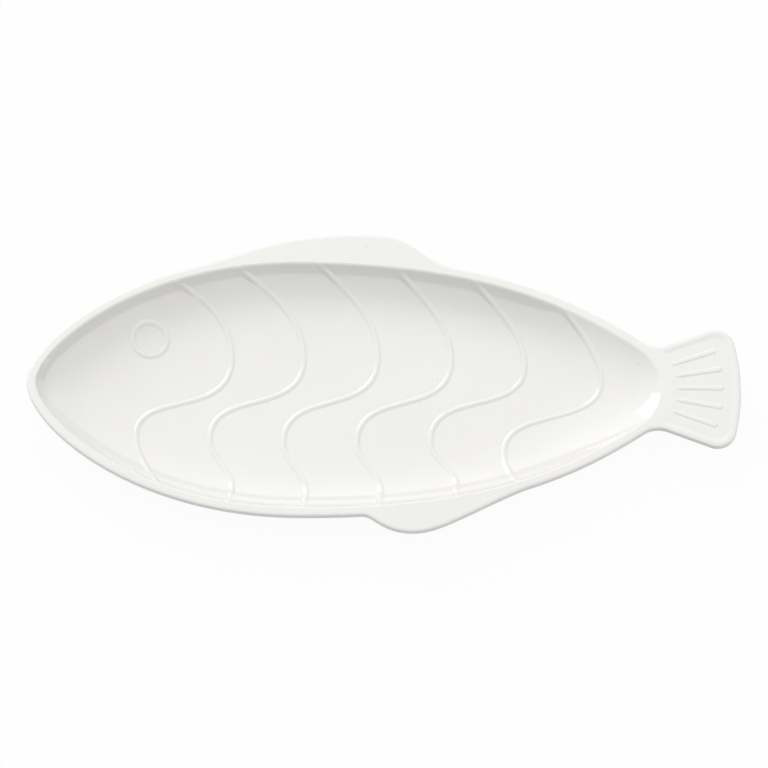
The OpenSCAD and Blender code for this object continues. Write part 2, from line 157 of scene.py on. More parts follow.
def end_caps(rows: int, columns: int) -> np.ndarray:
    """Quads that close the first and the last ring of a grid, as ladders between a ring's two halves.

    Args:
        rows: number of rings.
        columns: number of points in a ring.

    Returns:
        Four indices a face.
    """
    ladder = np.arange(columns // 2 - 1)
    cap = np.stack([ladder, ladder + 1, columns - 2 - ladder, columns - 1 - ladder], axis=1)
    return np.vstack([cap, cap[:, ::-1] + (rows - 1) * columns])


def put(name: str, data: bpy.types.ID) -> bpy.types.Object:
    """Puts a new object into the scene.

    Args:
        name: its name.
        data: its mesh, light or camera.

    Returns:
        The object.
    """
    item = bpy.data.objects.new(name, data)
    bpy.context.scene.collection.objects.link(item)
    return item


@dataclass
class Surface:
    """A closed surface: points, their facing, faces, and how thin the glaze lies and shade is painted."""

    points: np.ndarray
    facing: np.ndarray
    quads: np.ndarray
    triangles: np.ndarray
    # Glaze thinning on edges, together with shade painted on edges that lean sideways
    edge_thinning_and_shade: np.ndarray

    @classmethod
    def of_grid(
        cls, points: np.ndarray, facing: np.ndarray, quads: np.ndarray, edge_thinning_and_shade: np.ndarray
    ) -> "Surface":
        """Surface of a grid of points that has quads alone.

        Args:
            points: its points by row and column.
            facing: the way each one faces.
            quads: its faces.
            edge_thinning_and_shade: how thin the glaze lies at each point, and how much shade is painted
                there.

        Returns:
            The surface.
        """
        none = np.zeros((0, 3), dtype=int)
        return cls(points.reshape(-1, 3), facing.reshape(-1, 3), quads, none, edge_thinning_and_shade.reshape(-1))

    def volume(self) -> float:
        """Signed volume within the faces: a sixth of the triple product of each triangle, summed.

        Returns:
            The volume, which is positive when the faces point outwards.
        """
        corners = np.vstack([self.quads[:, [0, 1, 2]], self.quads[:, [0, 2, 3]], self.triangles])
        a, b, c = (self.points[corners[:, k]] for k in range(3))
        return float(np.einsum("ij,ij->i", a, np.cross(b, c)).sum() / 6)

    def make(
        self, name: str, nodes: list[str], slot: Slot, material: bpy.types.Material
    ) -> bpy.types.Object:
        """Makes the piece in the frame, in place of its nodes.

        Args:
            name: name of the piece.
            nodes: the nodes that it stands for.
            slot: slot of the record that its finish belongs to; not used.
            material: its finish.

        Returns:
            The new object.
        """
        order = 1 if self.volume() > 0 else -1
        faces = self.quads[:, ::order].tolist() + self.triangles[:, ::order].tolist()
        # The tail is even about the fish's axis, so the middle of its box gives that axis in the frame
        low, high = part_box("tail_fin")
        shift = np.array([FishBody.length / 2, -(low[1] + high[1]) / 2 / MILLIMETRE, 0])
        mesh = bpy.data.meshes.new(name)
        mesh.from_pydata(((self.points - shift) * MILLIMETRE).tolist(), [], faces)
        mesh.polygons.foreach_set("use_smooth", np.ones(len(faces), dtype=bool))
        # Where the glaze thins on an edge and shade is painted on it, more as the edge leans sideways
        thin_and_shade = mesh.attributes.new("thin_glaze_and_edge_shade", "FLOAT", "POINT")
        thin_and_shade.data.foreach_set("value", self.edge_thinning_and_shade.astype(np.float32))
        mesh.materials.append(material)
        mesh.validate()
        mesh.normals_split_custom_set_from_vertices(unit(self.facing).tolist())
        piece = put(name, mesh)
        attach(piece, "root")
        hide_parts(*nodes)
        return piece

    def glaze(self, node: str, material: bpy.types.Material) -> bpy.types.Object:
        """Makes the glazed piece that stands for one node."""
        return self.make(f"{node}_glazed", [node], Slot.WHITE_GLAZE, material)


@dataclass(frozen=True)
class Stations:
    """Places along half of the well's edge, from the nose to the tail."""

    x: np.ndarray
    half: np.ndarray
    along: np.ndarray

    def around(self) -> tuple[np.ndarray, np.ndarray]:
        """The whole way round, along the back and then along the belly.

        Returns:
            The places, and the directions that point out of the well there.
        """
        place = np.stack([self.x, self.half], axis=1)
        out = np.stack([-self.along[:, 1], self.along[:, 0]], axis=1)
        return np.vstack([place, place[-2:0:-1] * MIRROR]), np.vstack([out, out[-2:0:-1] * MIRROR])


@dataclass(frozen=True)
class FishBody:
    """Outline of the well and the heights that every piece shares."""

    length: float = 480.0
    width: float = 195.0
    widest_at: float = 183.0
    nose_fullness: float = 25.0
    end_radius: float = 35.0
    end_turn: float = 55.0
    tail_length: float = 53.6
    cheek_share: float = 0.63
    flank_share: float = 0.57
    haunch_share: float = 0.22
    rim_width: float = 6.0
    rim_thickness: float = 5.0
    crown_radius: float = 4.5
    crown_tilt: float = 22.0
    edge_radius: float = 0.9
    ease: float = 1.0
    well_depth: float = 20.0
    wall_run: float = 40.0
    tail_wall_run: float = 75.0
    tail_wall_length: float = 100.0
    floor_thickness: float = 5.0
    foot_height: float = 3.0
    evening: float = 6.0

    @property
    def rim_top(self) -> float:
        """Height of the rim's top."""
        return self.foot_height + self.floor_thickness + self.well_depth

    @property
    def rim_under(self) -> float:
        """Height of the rim's underside."""
        return self.rim_top - self.rim_thickness

    @property
    def under_drop(self) -> float:
        """Drop of the wall's outside from the rim to the foot."""
        return self.rim_under - self.foot_height

    @property
    def wall_root(self) -> float:
        """Distance out from the well at which the wall leaves the rim's underside."""
        return self.rim_width / 2

    @property
    def crown_lean(self) -> float:
        """Sideways share of the facing where the crown runs into the corner of the edge."""
        return math.sin(math.radians(self.crown_tilt))

    @property
    def edge_run(self) -> float:
        """Distance in from the outer edge at which its crown starts."""
        return self.crown_radius * self.crown_lean + self.edge_radius * (1 - self.crown_lean)

    @property
    def end_join(self) -> np.ndarray:
        """Place where the flank runs into the well's round end."""
        return self.end_centre + self.end_radius * turned(self.end_turn)

    @property
    def half_width(self) -> float:
        """Half the width of the well."""
        return self.width / 2 - self.rim_width

    @property
    def well_end(self) -> float:
        """Place of the well's end beside the tail."""
        return self.length - self.tail_length

    @property
    def end_centre(self) -> np.ndarray:
        """Centre of the well's round end."""
        return np.array([self.well_end - self.end_radius, 0.0])

    def edge_insets(self, steps: int) -> np.ndarray:
        """Distances in from the outer edge at even turns of its round, from the flat to the edge.

        Args:
            steps: turns between the flat and the edge.

        Returns:
            One distance for each turn, falling to 0.
        """
        lean = np.sin(np.linspace(0, math.pi / 2, steps + 1))
        crown = self.edge_run - self.crown_radius * lean
        return np.where(lean < self.crown_lean, crown, self.edge_radius * (1 - lean))

    def stations(self, front: int, rear: int, end: int) -> Stations:
        """Half of the well's edge: a cubic to the widest place, a cubic to the round end, and that end.

        Args:
            front: steps along the first curve.
            rear: steps along the second one.
            end: steps along the round end.

        Returns:
            The places and directions.
        """
        join = self.end_join
        run = join[0] - self.widest_at
        cheek = self.widest_at - self.cheek_share * (self.widest_at - self.rim_width)
        nose_curve = np.array([
            [self.rim_width, 0],
            [self.rim_width, self.nose_fullness],
            [cheek, self.half_width],
            [self.widest_at, self.half_width],
        ])
        flank_curve = np.array([
            [self.widest_at, self.half_width],
            [self.widest_at + self.flank_share * run, self.half_width],
            join - self.haunch_share * run * turned(self.end_turn - 90),
            join,
        ])
        front_t = np.arange(front) / front
        rear_t = np.arange(rear) / rear
        angle = self.end_turn * (1 - np.arange(end + 1) / end)
        place = np.vstack([
            cubic(nose_curve, front_t),
            cubic(flank_curve, rear_t),
            self.end_centre + self.end_radius * turned(angle),
        ])
        along = np.vstack([
            unit(cubic_slope(nose_curve, front_t)),
            unit(cubic_slope(flank_curve, rear_t)),
            turned(angle - 90),
        ])
        return Stations(place[:, 0], place[:, 1], along)


class Well:
    """Heights of the well and of the wall's outside.

    The distance in from the edge is F (w squared less y squared), where w is half the width at x and F
    the cosine of the edge's direction over 2 w. That is true at the edge and smooth across the body. F is
    evened out along x, so that no crease crosses the well where a curve of the outline ends.
    """

    # Millimetres between the tabulated places
    GRID_STEP = 0.25
    # Steps along the three curves of the edge from which they are read
    FINE_STEPS = (6000, 6000, 2000)
    # Reach of the evening to each side, in widths of its bell
    EVENING_REACH = 4

    def __init__(self, body: FishBody, foot: "FootRing") -> None:
        """Tabulates the square of the half width and the evened F along the body.

        Args:
            body: the shared sizes.
            foot: the foot, as far out as which the underside is flat.
        """
        self.body = body
        fine = body.stations(*self.FINE_STEPS)
        foot_edge = foot.edge()
        half = np.interp(foot_edge[:, 0], fine.x, fine.half)
        cosine = np.interp(foot_edge[:, 0], fine.x, fine.along[:, 0])
        flatter, _ = self.flatter(foot_edge[:, 0])
        self.under_run = float((self.under_distance(half, cosine, foot_edge[:, 1]) / flatter).min())
        self.x = np.arange(body.rim_width, body.well_end, self.GRID_STEP)
        self.square = np.interp(self.x, fine.x, fine.half**2)
        factor = np.interp(self.x, fine.x[1:-1], fine.along[1:-1, 0] / (2 * fine.half[1:-1]))
        end = self.EVENING_REACH * body.evening
        reach = np.arange(-end, end + self.GRID_STEP, self.GRID_STEP)
        weight = np.exp(-0.5 * (reach / body.evening) ** 2)
        margin = len(reach) // 2
        longer = np.pad(factor, margin, mode="reflect", reflect_type="odd")
        self.factor = np.convolve(longer, weight / weight.sum(), mode="valid")
        self.square_slope = np.gradient(self.square, self.GRID_STEP)
        self.factor_slope = np.gradient(self.factor, self.GRID_STEP)

    def distance(self, x: np.ndarray, y: np.ndarray) -> tuple[np.ndarray, np.ndarray, np.ndarray]:
        """Distance in from the edge, with its slopes along x and y.

        Args:
            x: places along the body.
            y: places across it.

        Returns:
            The distance, its slope along x, and its slope along y.
        """
        factor = np.interp(x, self.x, self.factor)
        room = np.interp(x, self.x, self.square) - y * y
        slope_x = np.interp(x, self.x, self.factor_slope) * room
        slope_x = slope_x + factor * np.interp(x, self.x, self.square_slope)
        return factor * room, slope_x, -2 * factor * y

    def under_distance(self, half: np.ndarray, cosine: np.ndarray, y: np.ndarray) -> np.ndarray:
        """Distance in from the place where the wall leaves the rim's underside, across the body.

        Args:
            half: half widths of the well.
            cosine: cosines of its edge's direction there.
            y: places across the body.

        Returns:
            The distance, by the same rule as in the well.
        """
        under_half = half + self.body.wall_root * cosine
        return (under_half**2 - y**2) * cosine / np.maximum(2 * under_half, self.GRID_STEP)

    def eased(self, distance: np.ndarray) -> tuple[np.ndarray, np.ndarray]:
        """Distance with a parabola over the lip, from the ease outside the edge to the ease inside it.

        Args:
            distance: distance in from the edge.

        Returns:
            The eased distance and its slope.
        """
        ease = self.body.ease
        over = np.clip(distance + ease, 0, 2 * ease)
        value = np.where(distance > ease, distance, over**2 / (4 * ease))
        return value, np.where(distance > ease, 1.0, over / (2 * ease))

    def flatter(self, x: np.ndarray) -> tuple[np.ndarray, np.ndarray]:
        """How many times longer than elsewhere the wall's run is, a smooth rise towards the tail.

        Args:
            x: places along the body.

        Returns:
            The factor and its slope along x.
        """
        body = self.body
        rise, slope = smooth_step(x, body.well_end - body.tail_wall_length, body.well_end)
        more = body.tail_wall_run / body.wall_run - 1
        return 1 + more * rise, more * slope

    def profile(self, x: np.ndarray, distance: np.ndarray) -> tuple[np.ndarray, np.ndarray, np.ndarray]:
        """Height of the well, the depth times 1 less the cube of what is left of the run.

        Args:
            x: places along the body.
            distance: distance in from the edge.

        Returns:
            The height, its slope over the distance, and its slope along x at one distance.
        """
        return self._fall(x, distance, self.body.rim_top, self.body.well_depth, self.body.wall_run)

    def under_profile(
        self, x: np.ndarray, distance: np.ndarray
    ) -> tuple[np.ndarray, np.ndarray, np.ndarray]:
        """Height of the wall's outside with its two slopes, by the same rule as the well's."""
        return self._fall(x, distance, self.body.rim_under, self.body.under_drop, self.under_run)

    def _fall(
        self, x: np.ndarray, distance: np.ndarray, top: float, drop: float, run: float
    ) -> tuple[np.ndarray, np.ndarray, np.ndarray]:
        """Wall that falls from the top and flattens at the end of its run.

        Args:
            x: places along the body.
            distance: distance in from the edge.
            top: height at the edge.
            drop: full depth below it.
            run: distance over which the wall flattens, away from the tail.

        Returns:
            The height, its slope over the distance, and its slope along x at one distance.
        """
        flatter, flatter_slope = self.flatter(x)
        eased, slope = self.eased(distance)
        done = np.clip(eased / (run * flatter), 0, 1)
        steep = 3 * drop * (1 - done) ** 2
        height = top - drop * (1 - (1 - done) ** 3)
        return height, -steep * slope / (run * flatter), steep * done * flatter_slope / flatter

    def height(self, x: np.ndarray, y: np.ndarray) -> tuple[np.ndarray, np.ndarray, np.ndarray]:
        """Height of the well with its slopes along x and y.

        Args:
            x: places along the body.
            y: places across it.

        Returns:
            The height, its slope along x, and its slope along y.
        """
        distance, slope_x, slope_y = self.distance(x, y)
        height, fall, rise = self.profile(x, distance)
        return height, fall * slope_x + rise, fall * slope_y


@dataclass(frozen=True)
class Fin:
    """A flat fin that widens the rim on one side, flush with it.

    Its handles and shoulders, which bend the two curves of its edge, are shares of their lengths and of
    the height.
    """

    name: str
    side: Side
    start: float
    rise_length: float
    fall_length: float
    height: float
    front_handle: tuple[float, float]
    front_shoulder: float
    rear_shoulder: float
    rear_handle: tuple[float, float]
    least: float = 0.04
    round_share: float = 0.6
    curve_steps: int = 2000
    flat_steps: int = 7
    round_steps: int = 12

    def height_at(self, x: np.ndarray) -> np.ndarray:
        """Height beyond the rim along the body: a cubic up to the peak and a cubic down again.

        Args:
            x: places along the body.

        Returns:
            The height, which is 0 before and after the fin.
        """
        peak = self.start + self.rise_length
        t = np.linspace(0, 1, self.curve_steps + 1)
        rise = np.array([
            [self.start, 0],
            [self.start + self.front_handle[0] * self.rise_length, self.front_handle[1] * self.height],
            [self.start + self.front_shoulder * self.rise_length, self.height],
            [peak, self.height],
        ])
        fall = np.array([
            [peak, self.height],
            [peak + self.rear_shoulder * self.fall_length, self.height],
            [peak + self.rear_handle[0] * self.fall_length, self.rear_handle[1] * self.height],
            [peak + self.fall_length, 0],
        ])
        curve = np.vstack([cubic(rise, t), cubic(fall, t)[1:]])
        return np.interp(x, curve[:, 0], curve[:, 1], left=0, right=0)

    def build(self, platter: "Platter") -> Surface:
        """Sections from the rim's outer face to the fin's edge, top and underside, closed at both ends.

        Args:
            platter: the shared shapes.

        Returns:
            The fin's closed surface.
        """
        body = platter.body
        place, out = platter.stations.around()
        height = self.height_at(place[:, 0])
        kept = (place[:, 1] * self.side.value > 0) & (height > self.least)
        place, out, height = place[kept], out[kept], height[kept][:, None]
        share = np.minimum(1, self.round_share * height / body.edge_run)
        rounding = share * body.edge_insets(self.round_steps)
        flat = np.linspace(1, 0, self.flat_steps, endpoint=False)
        inset = np.hstack([rounding[:, :1] + (height - rounding[:, :1]) * flat, rounding])
        reach = body.rim_width + height - inset
        plan = place[:, None, :] + reach[:, :, None] * out[:, None, :]
        return platter.plate(plan)

    def dress(self, platter: "Platter", material: bpy.types.Material) -> list[bpy.types.Object]:
        """Makes the fin's piece with its glaze."""
        return [self.build(platter).glaze(self.name, material)]


BACK_FIN = Fin(
    name="back_fin",
    side=Side.BACK,
    start=114.0,
    rise_length=124.0,
    fall_length=48.0,
    height=17.45,
    front_handle=(0.22, 0.02),
    front_shoulder=0.52,
    rear_shoulder=0.37,
    rear_handle=(0.6, 0.0),
)
BELLY_FIN = Fin(
    name="belly_fin",
    side=Side.BELLY,
    start=226.5,
    rise_length=36.9,
    fall_length=70.0,
    height=15.4,
    front_handle=(0.2, 0.0),
    front_shoulder=0.36,
    rear_shoulder=0.22,
    rear_handle=(0.57, 0.19),
)


@dataclass(frozen=True)
class TailFin:
    """Flared tail with a soft raised border around a sunken field, and its raised rays."""

    flare: float = 21.3
    neck_radius: float = 16.5
    corner_radius: float = 13.0
    tip_radius: float = 150.0
    border: float = 4.5
    field_depth: float = 0.5
    softness: float = 3.0
    rim_softness: float = 9.0
    ray_count: int = 5
    ray_angle: float = 10.0
    ray_spread_point: float = 40.0
    ray_gap: float = 4.0
    ray_tip_gap: float = 11.0
    ray_width: float = 4.6
    ray_root_width: float = 3.6
    ray_height: float = 0.6
    ray_fullness: float = 2.0
    spacing: float = 0.6
    least_gap: float = 0.04
    least_cosine: float = 0.12
    edge_share: float = 0.75
    round_steps: int = 12
    step_steps: int = 12
    field_steps: int = 9
    ray_steps: int = 60

    def half_edge(self, body: FishBody) -> np.ndarray:
        """Half the tail's edge: a hollow arc at the neck, a straight side, a corner arc and the tip's.

        Args:
            body: the shared sizes.

        Returns:
            Points of the back's half, from the rim to the fish's axis.
        """
        reach = body.end_radius + body.rim_width
        neck_centre = body.end_centre + (reach + self.neck_radius) * turned(body.end_turn)
        inward = turned(self.flare - 90)
        way = turned(self.flare)
        side_start = neck_centre + self.neck_radius * inward
        tip_centre = np.array([body.length - self.tip_radius, 0])
        start = side_start + self.corner_radius * inward - tip_centre
        along = start @ way
        inner = self.tip_radius - self.corner_radius
        run = math.sqrt(along**2 - start @ start + inner**2) - along
        corner_centre = tip_centre + start + run * way
        side_end = corner_centre - self.corner_radius * inward
        corner_turn = math.degrees(math.atan2(corner_centre[1], corner_centre[0] - tip_centre[0]))
        neck = self.arc(neck_centre, self.neck_radius, body.end_turn - 180, self.flare - 90)
        steps = round(np.linalg.norm(side_end - side_start) / self.spacing)
        side = side_start + (side_end - side_start) * np.linspace(0, 1, steps + 1)[1:-1, None]
        corner = self.arc(corner_centre, self.corner_radius, self.flare + 90, corner_turn)
        tip = self.arc(tip_centre, self.tip_radius, corner_turn, 0)
        return np.vstack([neck, side, corner, tip[1:]])

    def arc(self, centre: np.ndarray, radius: float, first: float, last: float) -> np.ndarray:
        """Points of an arc at the tail's spacing.

        Args:
            centre: its centre.
            radius: its radius.
            first: its first angle in degrees.
            last: its last angle in degrees.

        Returns:
            One point a row.
        """
        steps = max(2, round(abs(math.radians(last - first)) * radius / self.spacing))
        return centre + radius * turned(np.linspace(first, last, steps + 1))

    def sink(
        self, body: FishBody, plan: np.ndarray, inset: np.ndarray, out: np.ndarray
    ) -> tuple[np.ndarray, np.ndarray]:
        """Depth of the field below the border: a soft step in from the edge times one out from the rim.

        Args:
            body: the shared sizes.
            plan: points in the plane.
            inset: their distances in from the outer edge.
            out: directions that point out at the nearest place of that edge.

        Returns:
            The depth, and its slopes along x and y.
        """
        from_rim = plan - body.end_centre
        radius = np.linalg.norm(from_rim, axis=-1)
        first = body.end_radius + body.rim_width
        soft = self.softness
        in_step, in_slope = smooth_step(inset, self.border - soft / 2, self.border + soft / 2)
        rim_step, rim_slope = smooth_step(radius, first, first + self.rim_softness)
        border_slope = (rim_step * in_slope)[..., None] * -out
        root_slope = (in_step * rim_slope / radius)[..., None] * from_rim
        return self.field_depth * in_step * rim_step, self.field_depth * (border_slope + root_slope)

    def build(self, platter: "Platter") -> Surface:
        """Lines from the tail's edge to the rim's outer face, all towards the centre of the well's end.

        They lie closer together in the rounding and in the border's step. A line that meets the edge at a
        slant is measured along itself, and near the neck, where it is short, all its steps shrink.

        Args:
            platter: the shared shapes.

        Returns:
            The tail's closed surface.
        """
        body = platter.body
        half = self.half_edge(body)
        edge = np.vstack([half, half[-2::-1] * MIRROR])
        out = unit(np.stack([-np.gradient(edge[:, 1]), np.gradient(edge[:, 0])], axis=1))
        from_rim = edge - body.end_centre
        seat = platter.rim_face(np.arctan2(from_rim[:, 1], from_rim[:, 0]))
        gap = np.linalg.norm(edge - seat, axis=1)
        outside = np.linalg.norm(from_rim, axis=1) > np.linalg.norm(seat - body.end_centre, axis=1)
        kept = outside & (gap > self.least_gap)
        edge, out, gap, way = edge[kept], out[kept], gap[kept][:, None], unit(from_rim[kept])
        rounding = body.edge_insets(self.round_steps)[::-1]
        step = np.linspace(rounding[-1], self.border + self.softness / 2, self.step_steps + 1)[1:]
        inset = np.concatenate([rounding, step])
        cosine = np.maximum((out * way).sum(axis=1), self.least_cosine)[:, None]
        share = np.linspace(0, self.edge_share, len(inset))
        near = np.minimum(inset / cosine, share * gap)
        rest = np.linspace(0, 1, self.field_steps + 1)[1:]
        far = near[:, -1:] + rest * (gap - near[:, -1:])
        run = np.hstack([near, far])
        plan = edge[:, None, :] - run[:, :, None] * way[:, None, :]
        return platter.plate(plan[:, ::-1, :], self)

    def build_ray(self, platter: "Platter", number: int) -> Surface:
        """One ray: a raised line with round ends on the field, counted from the belly.

        Args:
            platter: the shared shapes.
            number: which ray, from 1.

        Returns:
            The ray's closed surface.
        """
        body = platter.body
        way = turned((number - (self.ray_count + 1) / 2) * self.ray_angle)
        spread = np.array([body.well_end - self.ray_spread_point, 0])
        root = self.ray_root_width / 2
        tip = self.ray_width / 2
        first = self.ray_spread_point + body.rim_width + self.ray_gap + root
        last = self.ray_spread_point + body.tail_length - self.ray_tip_gap - tip
        turn = np.linspace(0, math.pi / 2, self.round_steps + 1)
        straight = np.linspace(first, last, self.ray_steps)[1:-1]
        along = np.concatenate([first - root * np.cos(turn), straight, last + tip * np.sin(turn)])
        path = spread + along[:, None] * way
        left = np.broadcast_to(np.array([-way[1], way[0]]), path.shape)
        half = np.interp(along, [first, last], [root, tip])
        past = np.clip(np.maximum(first - along, along - last), 0, None) / half
        level = body.rim_top - self.field_depth
        return platter.raised_line(path, left, half, self.ray_height, past, level, self.ray_fullness)

    def dress(self, platter: "Platter", material: bpy.types.Material) -> list[bpy.types.Object]:
        """Makes the tail's piece and its rays with their glaze.

        Args:
            platter: the shared shapes.
            material: the glaze.

        Returns:
            The tail, and then the rays from the belly on.
        """
        pieces = [self.build(platter).glaze("tail_fin", material)]
        for number in range(1, self.ray_count + 1):
            pieces.append(self.build_ray(platter, number).glaze(f"tail_ray_{number}", material))
        return pieces


class Platter:
    """The shapes that the pieces share: the well, the stations around it and the platter's outer edge."""

    # Steps along the three curves of the well's edge
    STATION_STEPS = (200, 220, 44)
    # Depth of a raised line's edges below the ground
    SINK = 0.05
    # Distance before the round end at which the tail's edge takes over from the rim's
    JOIN_GAP = 0.3
    # Power of the facing's sideways share by which the glaze thins on an edge and painted shade darkens
    # it
    THIN_AND_SHADE_POWER = 3
    # Points across a raised line
    LINE_ACROSS = 17
    # Points that are measured against the outer edge at one time
    BLOCK = 2000

    def __init__(self, body: FishBody, fins: list[Fin], tail: TailFin, foot: "FootRing") -> None:
        """Joins rim, fins and tail into one outer edge.

        Args:
            body: the shared sizes.
            fins: the fins.
            tail: the tail.
            foot: the foot.
        """
        self.body = body
        self.well = Well(body, foot)
        self.stations = body.stations(*self.STATION_STEPS)
        place, out = self.stations.around()
        height = np.zeros(len(place))
        for fin in fins:
            own = place[:, 1] * fin.side.value > 0
            height = np.where(own, np.maximum(height, fin.height_at(place[:, 0])), height)
        reach = place + (body.rim_width + height)[:, None] * out
        before = place[:, 0] < body.end_join[0] - self.JOIN_GAP
        count = len(self.stations.x)
        half_tail = tail.half_edge(body)
        self.edge = np.vstack([
            reach[:count][before[:count]],
            half_tail,
            half_tail[-2::-1] * MIRROR,
            reach[count:][before[count:]],
        ])
        step = np.roll(self.edge, -1, axis=0) - np.roll(self.edge, 1, axis=0)
        self.edge_out = unit(np.stack([-step[:, 1], step[:, 0]], axis=1))

    def rim_face(self, angle: np.ndarray) -> np.ndarray:
        """Points on the rim's outer face beside the tail.

        Args:
            angle: angles about the centre of the well's round end, in radians.

        Returns:
            One point a row.
        """
        place, out = self.stations.around()
        face = place + self.body.rim_width * out - self.body.end_centre
        own = np.arctan2(face[:, 1], face[:, 0])
        order = np.argsort(own)
        x = np.interp(angle, own[order], face[order, 0])
        y = np.interp(angle, own[order], face[order, 1])
        return np.stack([x, y], axis=1) + self.body.end_centre

    def edge_distance(self, plan: np.ndarray) -> tuple[np.ndarray, np.ndarray]:
        """Distance from points to the nearest place of the outer edge, and the way that faces out there.

        The edge is a row of short straight steps. A point is dropped onto each of them, the nearest drop
        counts, and the facing is read between the facings of that step's two ends.

        Args:
            plan: points in the plane, any number of axes with the last one of length 2.

        Returns:
            The distances, and the facings.
        """
        points = plan.reshape(-1, 2)
        start = self.edge
        step = np.roll(self.edge, -1, axis=0) - start
        square = (step**2).sum(axis=1)
        after = np.roll(self.edge_out, -1, axis=0)
        distances = []
        facings = []
        for block in np.array_split(points, max(1, len(points) // self.BLOCK)):
            offset = block[:, None, :] - start[None, :, :]
            share = np.clip((offset * step).sum(axis=2) / square, 0, 1)
            apart = np.linalg.norm(offset - share[:, :, None] * step, axis=2)
            nearest = apart.argmin(axis=1)
            row = np.arange(len(block))
            part = share[row, nearest][:, None]
            distances.append(apart[row, nearest])
            facings.append(self.edge_out[nearest] * (1 - part) + after[nearest] * part)
        shape = plan.shape[:-1]
        return np.concatenate(distances).reshape(shape), unit(np.vstack(facings)).reshape(*shape, 2)

    def rounding(self, plan: np.ndarray) -> tuple[np.ndarray, np.ndarray, np.ndarray, np.ndarray]:
        """Round of the outer edge, above and below: a gentle crown that ends in a tight corner.

        Args:
            plan: points in the plane.

        Returns:
            Distance in from the edge, drop of the surface, sideways share of its facing, and the way out.
        """
        body = self.body
        distance, out = self.edge_distance(plan)
        crown = np.clip((body.edge_run - distance) / body.crown_radius, 0, body.crown_lean)
        corner = np.clip(1 - distance / body.edge_radius, body.crown_lean, 1)
        lean = np.where(corner > body.crown_lean, corner, crown)
        crown_drop = body.crown_radius * (1 - np.sqrt(1 - crown**2))
        corner_drop = body.edge_radius * (math.sqrt(1 - body.crown_lean**2) - np.sqrt(1 - corner**2))
        return distance, crown_drop + corner_drop, lean, out

    def plate(self, plan: np.ndarray, tail: TailFin | None = None) -> Surface:
        """Flat plate over rows of points that run from the rim out to the edge, with that edge rounded.

        Args:
            plan: points in the plane by row and column, the last column on the outer edge.
            tail: the tail, where the plate is one and has its field sunk.

        Returns:
            The plate's closed surface: top, outer face, underside and a face against the rim.
        """
        body = self.body
        distance, drop, lean, out = self.rounding(plan)
        upright = np.sqrt(1 - lean**2)
        sunk = np.zeros(distance.shape)
        slope = np.zeros(plan.shape)
        if tail is not None:
            sunk, slope = tail.sink(body, plan, distance, out)
        top = np.dstack([plan, body.rim_top - drop - sunk])
        under = np.dstack([plan, body.rim_under + drop])
        top_facing = np.dstack([out * lean[..., None] + slope, upright])
        under_facing = np.dstack([out * lean[..., None], -upright])
        ring = np.concatenate([under, top[:, ::-1]], axis=1)
        facing = np.concatenate([under_facing, top_facing[:, ::-1]], axis=1)
        # Glaze thinning with painted shade on the rounded edge, more as it leans sideways
        thin_and_shade = np.concatenate([lean, lean[:, ::-1]], axis=1) ** self.THIN_AND_SHADE_POWER
        rows, columns = ring.shape[:2]
        quads = np.vstack([grid_faces(rows, columns, round_columns=True), end_caps(rows, columns)])
        return Surface.of_grid(ring, facing, quads, thin_and_shade)

    def raised_line(
        self,
        path: np.ndarray,
        left: np.ndarray,
        half: np.ndarray | float,
        height: np.ndarray | float,
        past: np.ndarray,
        level: float | None = None,
        fullness: float = 1.0,
        closed: bool = False,
    ) -> Surface:
        """Raised line over a path: its height times the square of 1 less the squared distance across.

        The distance from the line's middle is a share of half the width, to the power of the fullness. It
        counts how far a row lies past the round end of the line, too. The line's edges lie a little below
        the ground, so that it grows out of it.

        Args:
            path: points of its middle in the plane.
            left: directions across it.
            half: half its width, one value or one a point.
            height: its height, one value or one a point.
            past: how far each row lies past the end, as a share of half the width.
            level: height of flat ground, or None where it lies on the well.
            fullness: 1 for a round section, and more for a flatter top with steeper sides.
            closed: whether it joins on itself.

        Returns:
            The line's closed surface.
        """
        across = np.sin(np.linspace(-1, 1, self.LINE_ACROSS) * math.pi / 2)
        room = np.sqrt(np.clip(1 - past**2, 0, 1))[:, None]
        offset = across[None, :] * room
        half = np.broadcast_to(half, len(path))[:, None]
        height = np.broadcast_to(height, len(path))[:, None]
        plan = path[:, None, :] + (half * offset)[:, :, None] * left[:, None, :]
        away = np.clip(offset**2 + past[:, None] ** 2, 0, 1)
        if level is None:
            ground, slope_x, slope_y = self.well.height(plan[..., 0], plan[..., 1])
        else:
            ground = np.full(plan.shape[:2], level)
            slope_x = np.zeros(plan.shape[:2])
            slope_y = slope_x
        left_over = 1 - away**fullness
        lift = height * left_over**2
        steep = -4 * fullness * height / half * left_over * away ** (fullness - 1)
        end = np.sign(np.arange(len(path)) - len(path) / 2)[:, None] * past[:, None]
        ahead = np.stack([left[:, 1], -left[:, 0]], axis=1)
        rise_left = (steep * offset)[:, :, None] * left[:, None, :]
        rise = rise_left + (steep * end)[:, :, None] * ahead[:, None, :]
        top = np.dstack([plan, ground + lift - self.SINK])
        facing = np.dstack([-slope_x - rise[..., 0], -slope_y - rise[..., 1], np.ones(ground.shape)])
        base = np.dstack([plan, ground - 2 * self.SINK])
        ring = np.concatenate([top, base[:, ::-1]], axis=1)
        faces_down = np.broadcast_to(np.array([0.0, 0.0, -1.0]), base.shape)
        rows, columns = ring.shape[:2]
        quads = grid_faces(rows, columns, round_rows=closed, round_columns=True)
        if not closed:
            quads = np.vstack([quads, end_caps(rows, columns)])
        facing = np.concatenate([facing, faces_down], axis=1)
        return Surface.of_grid(ring, facing, quads, np.zeros((rows, columns)))


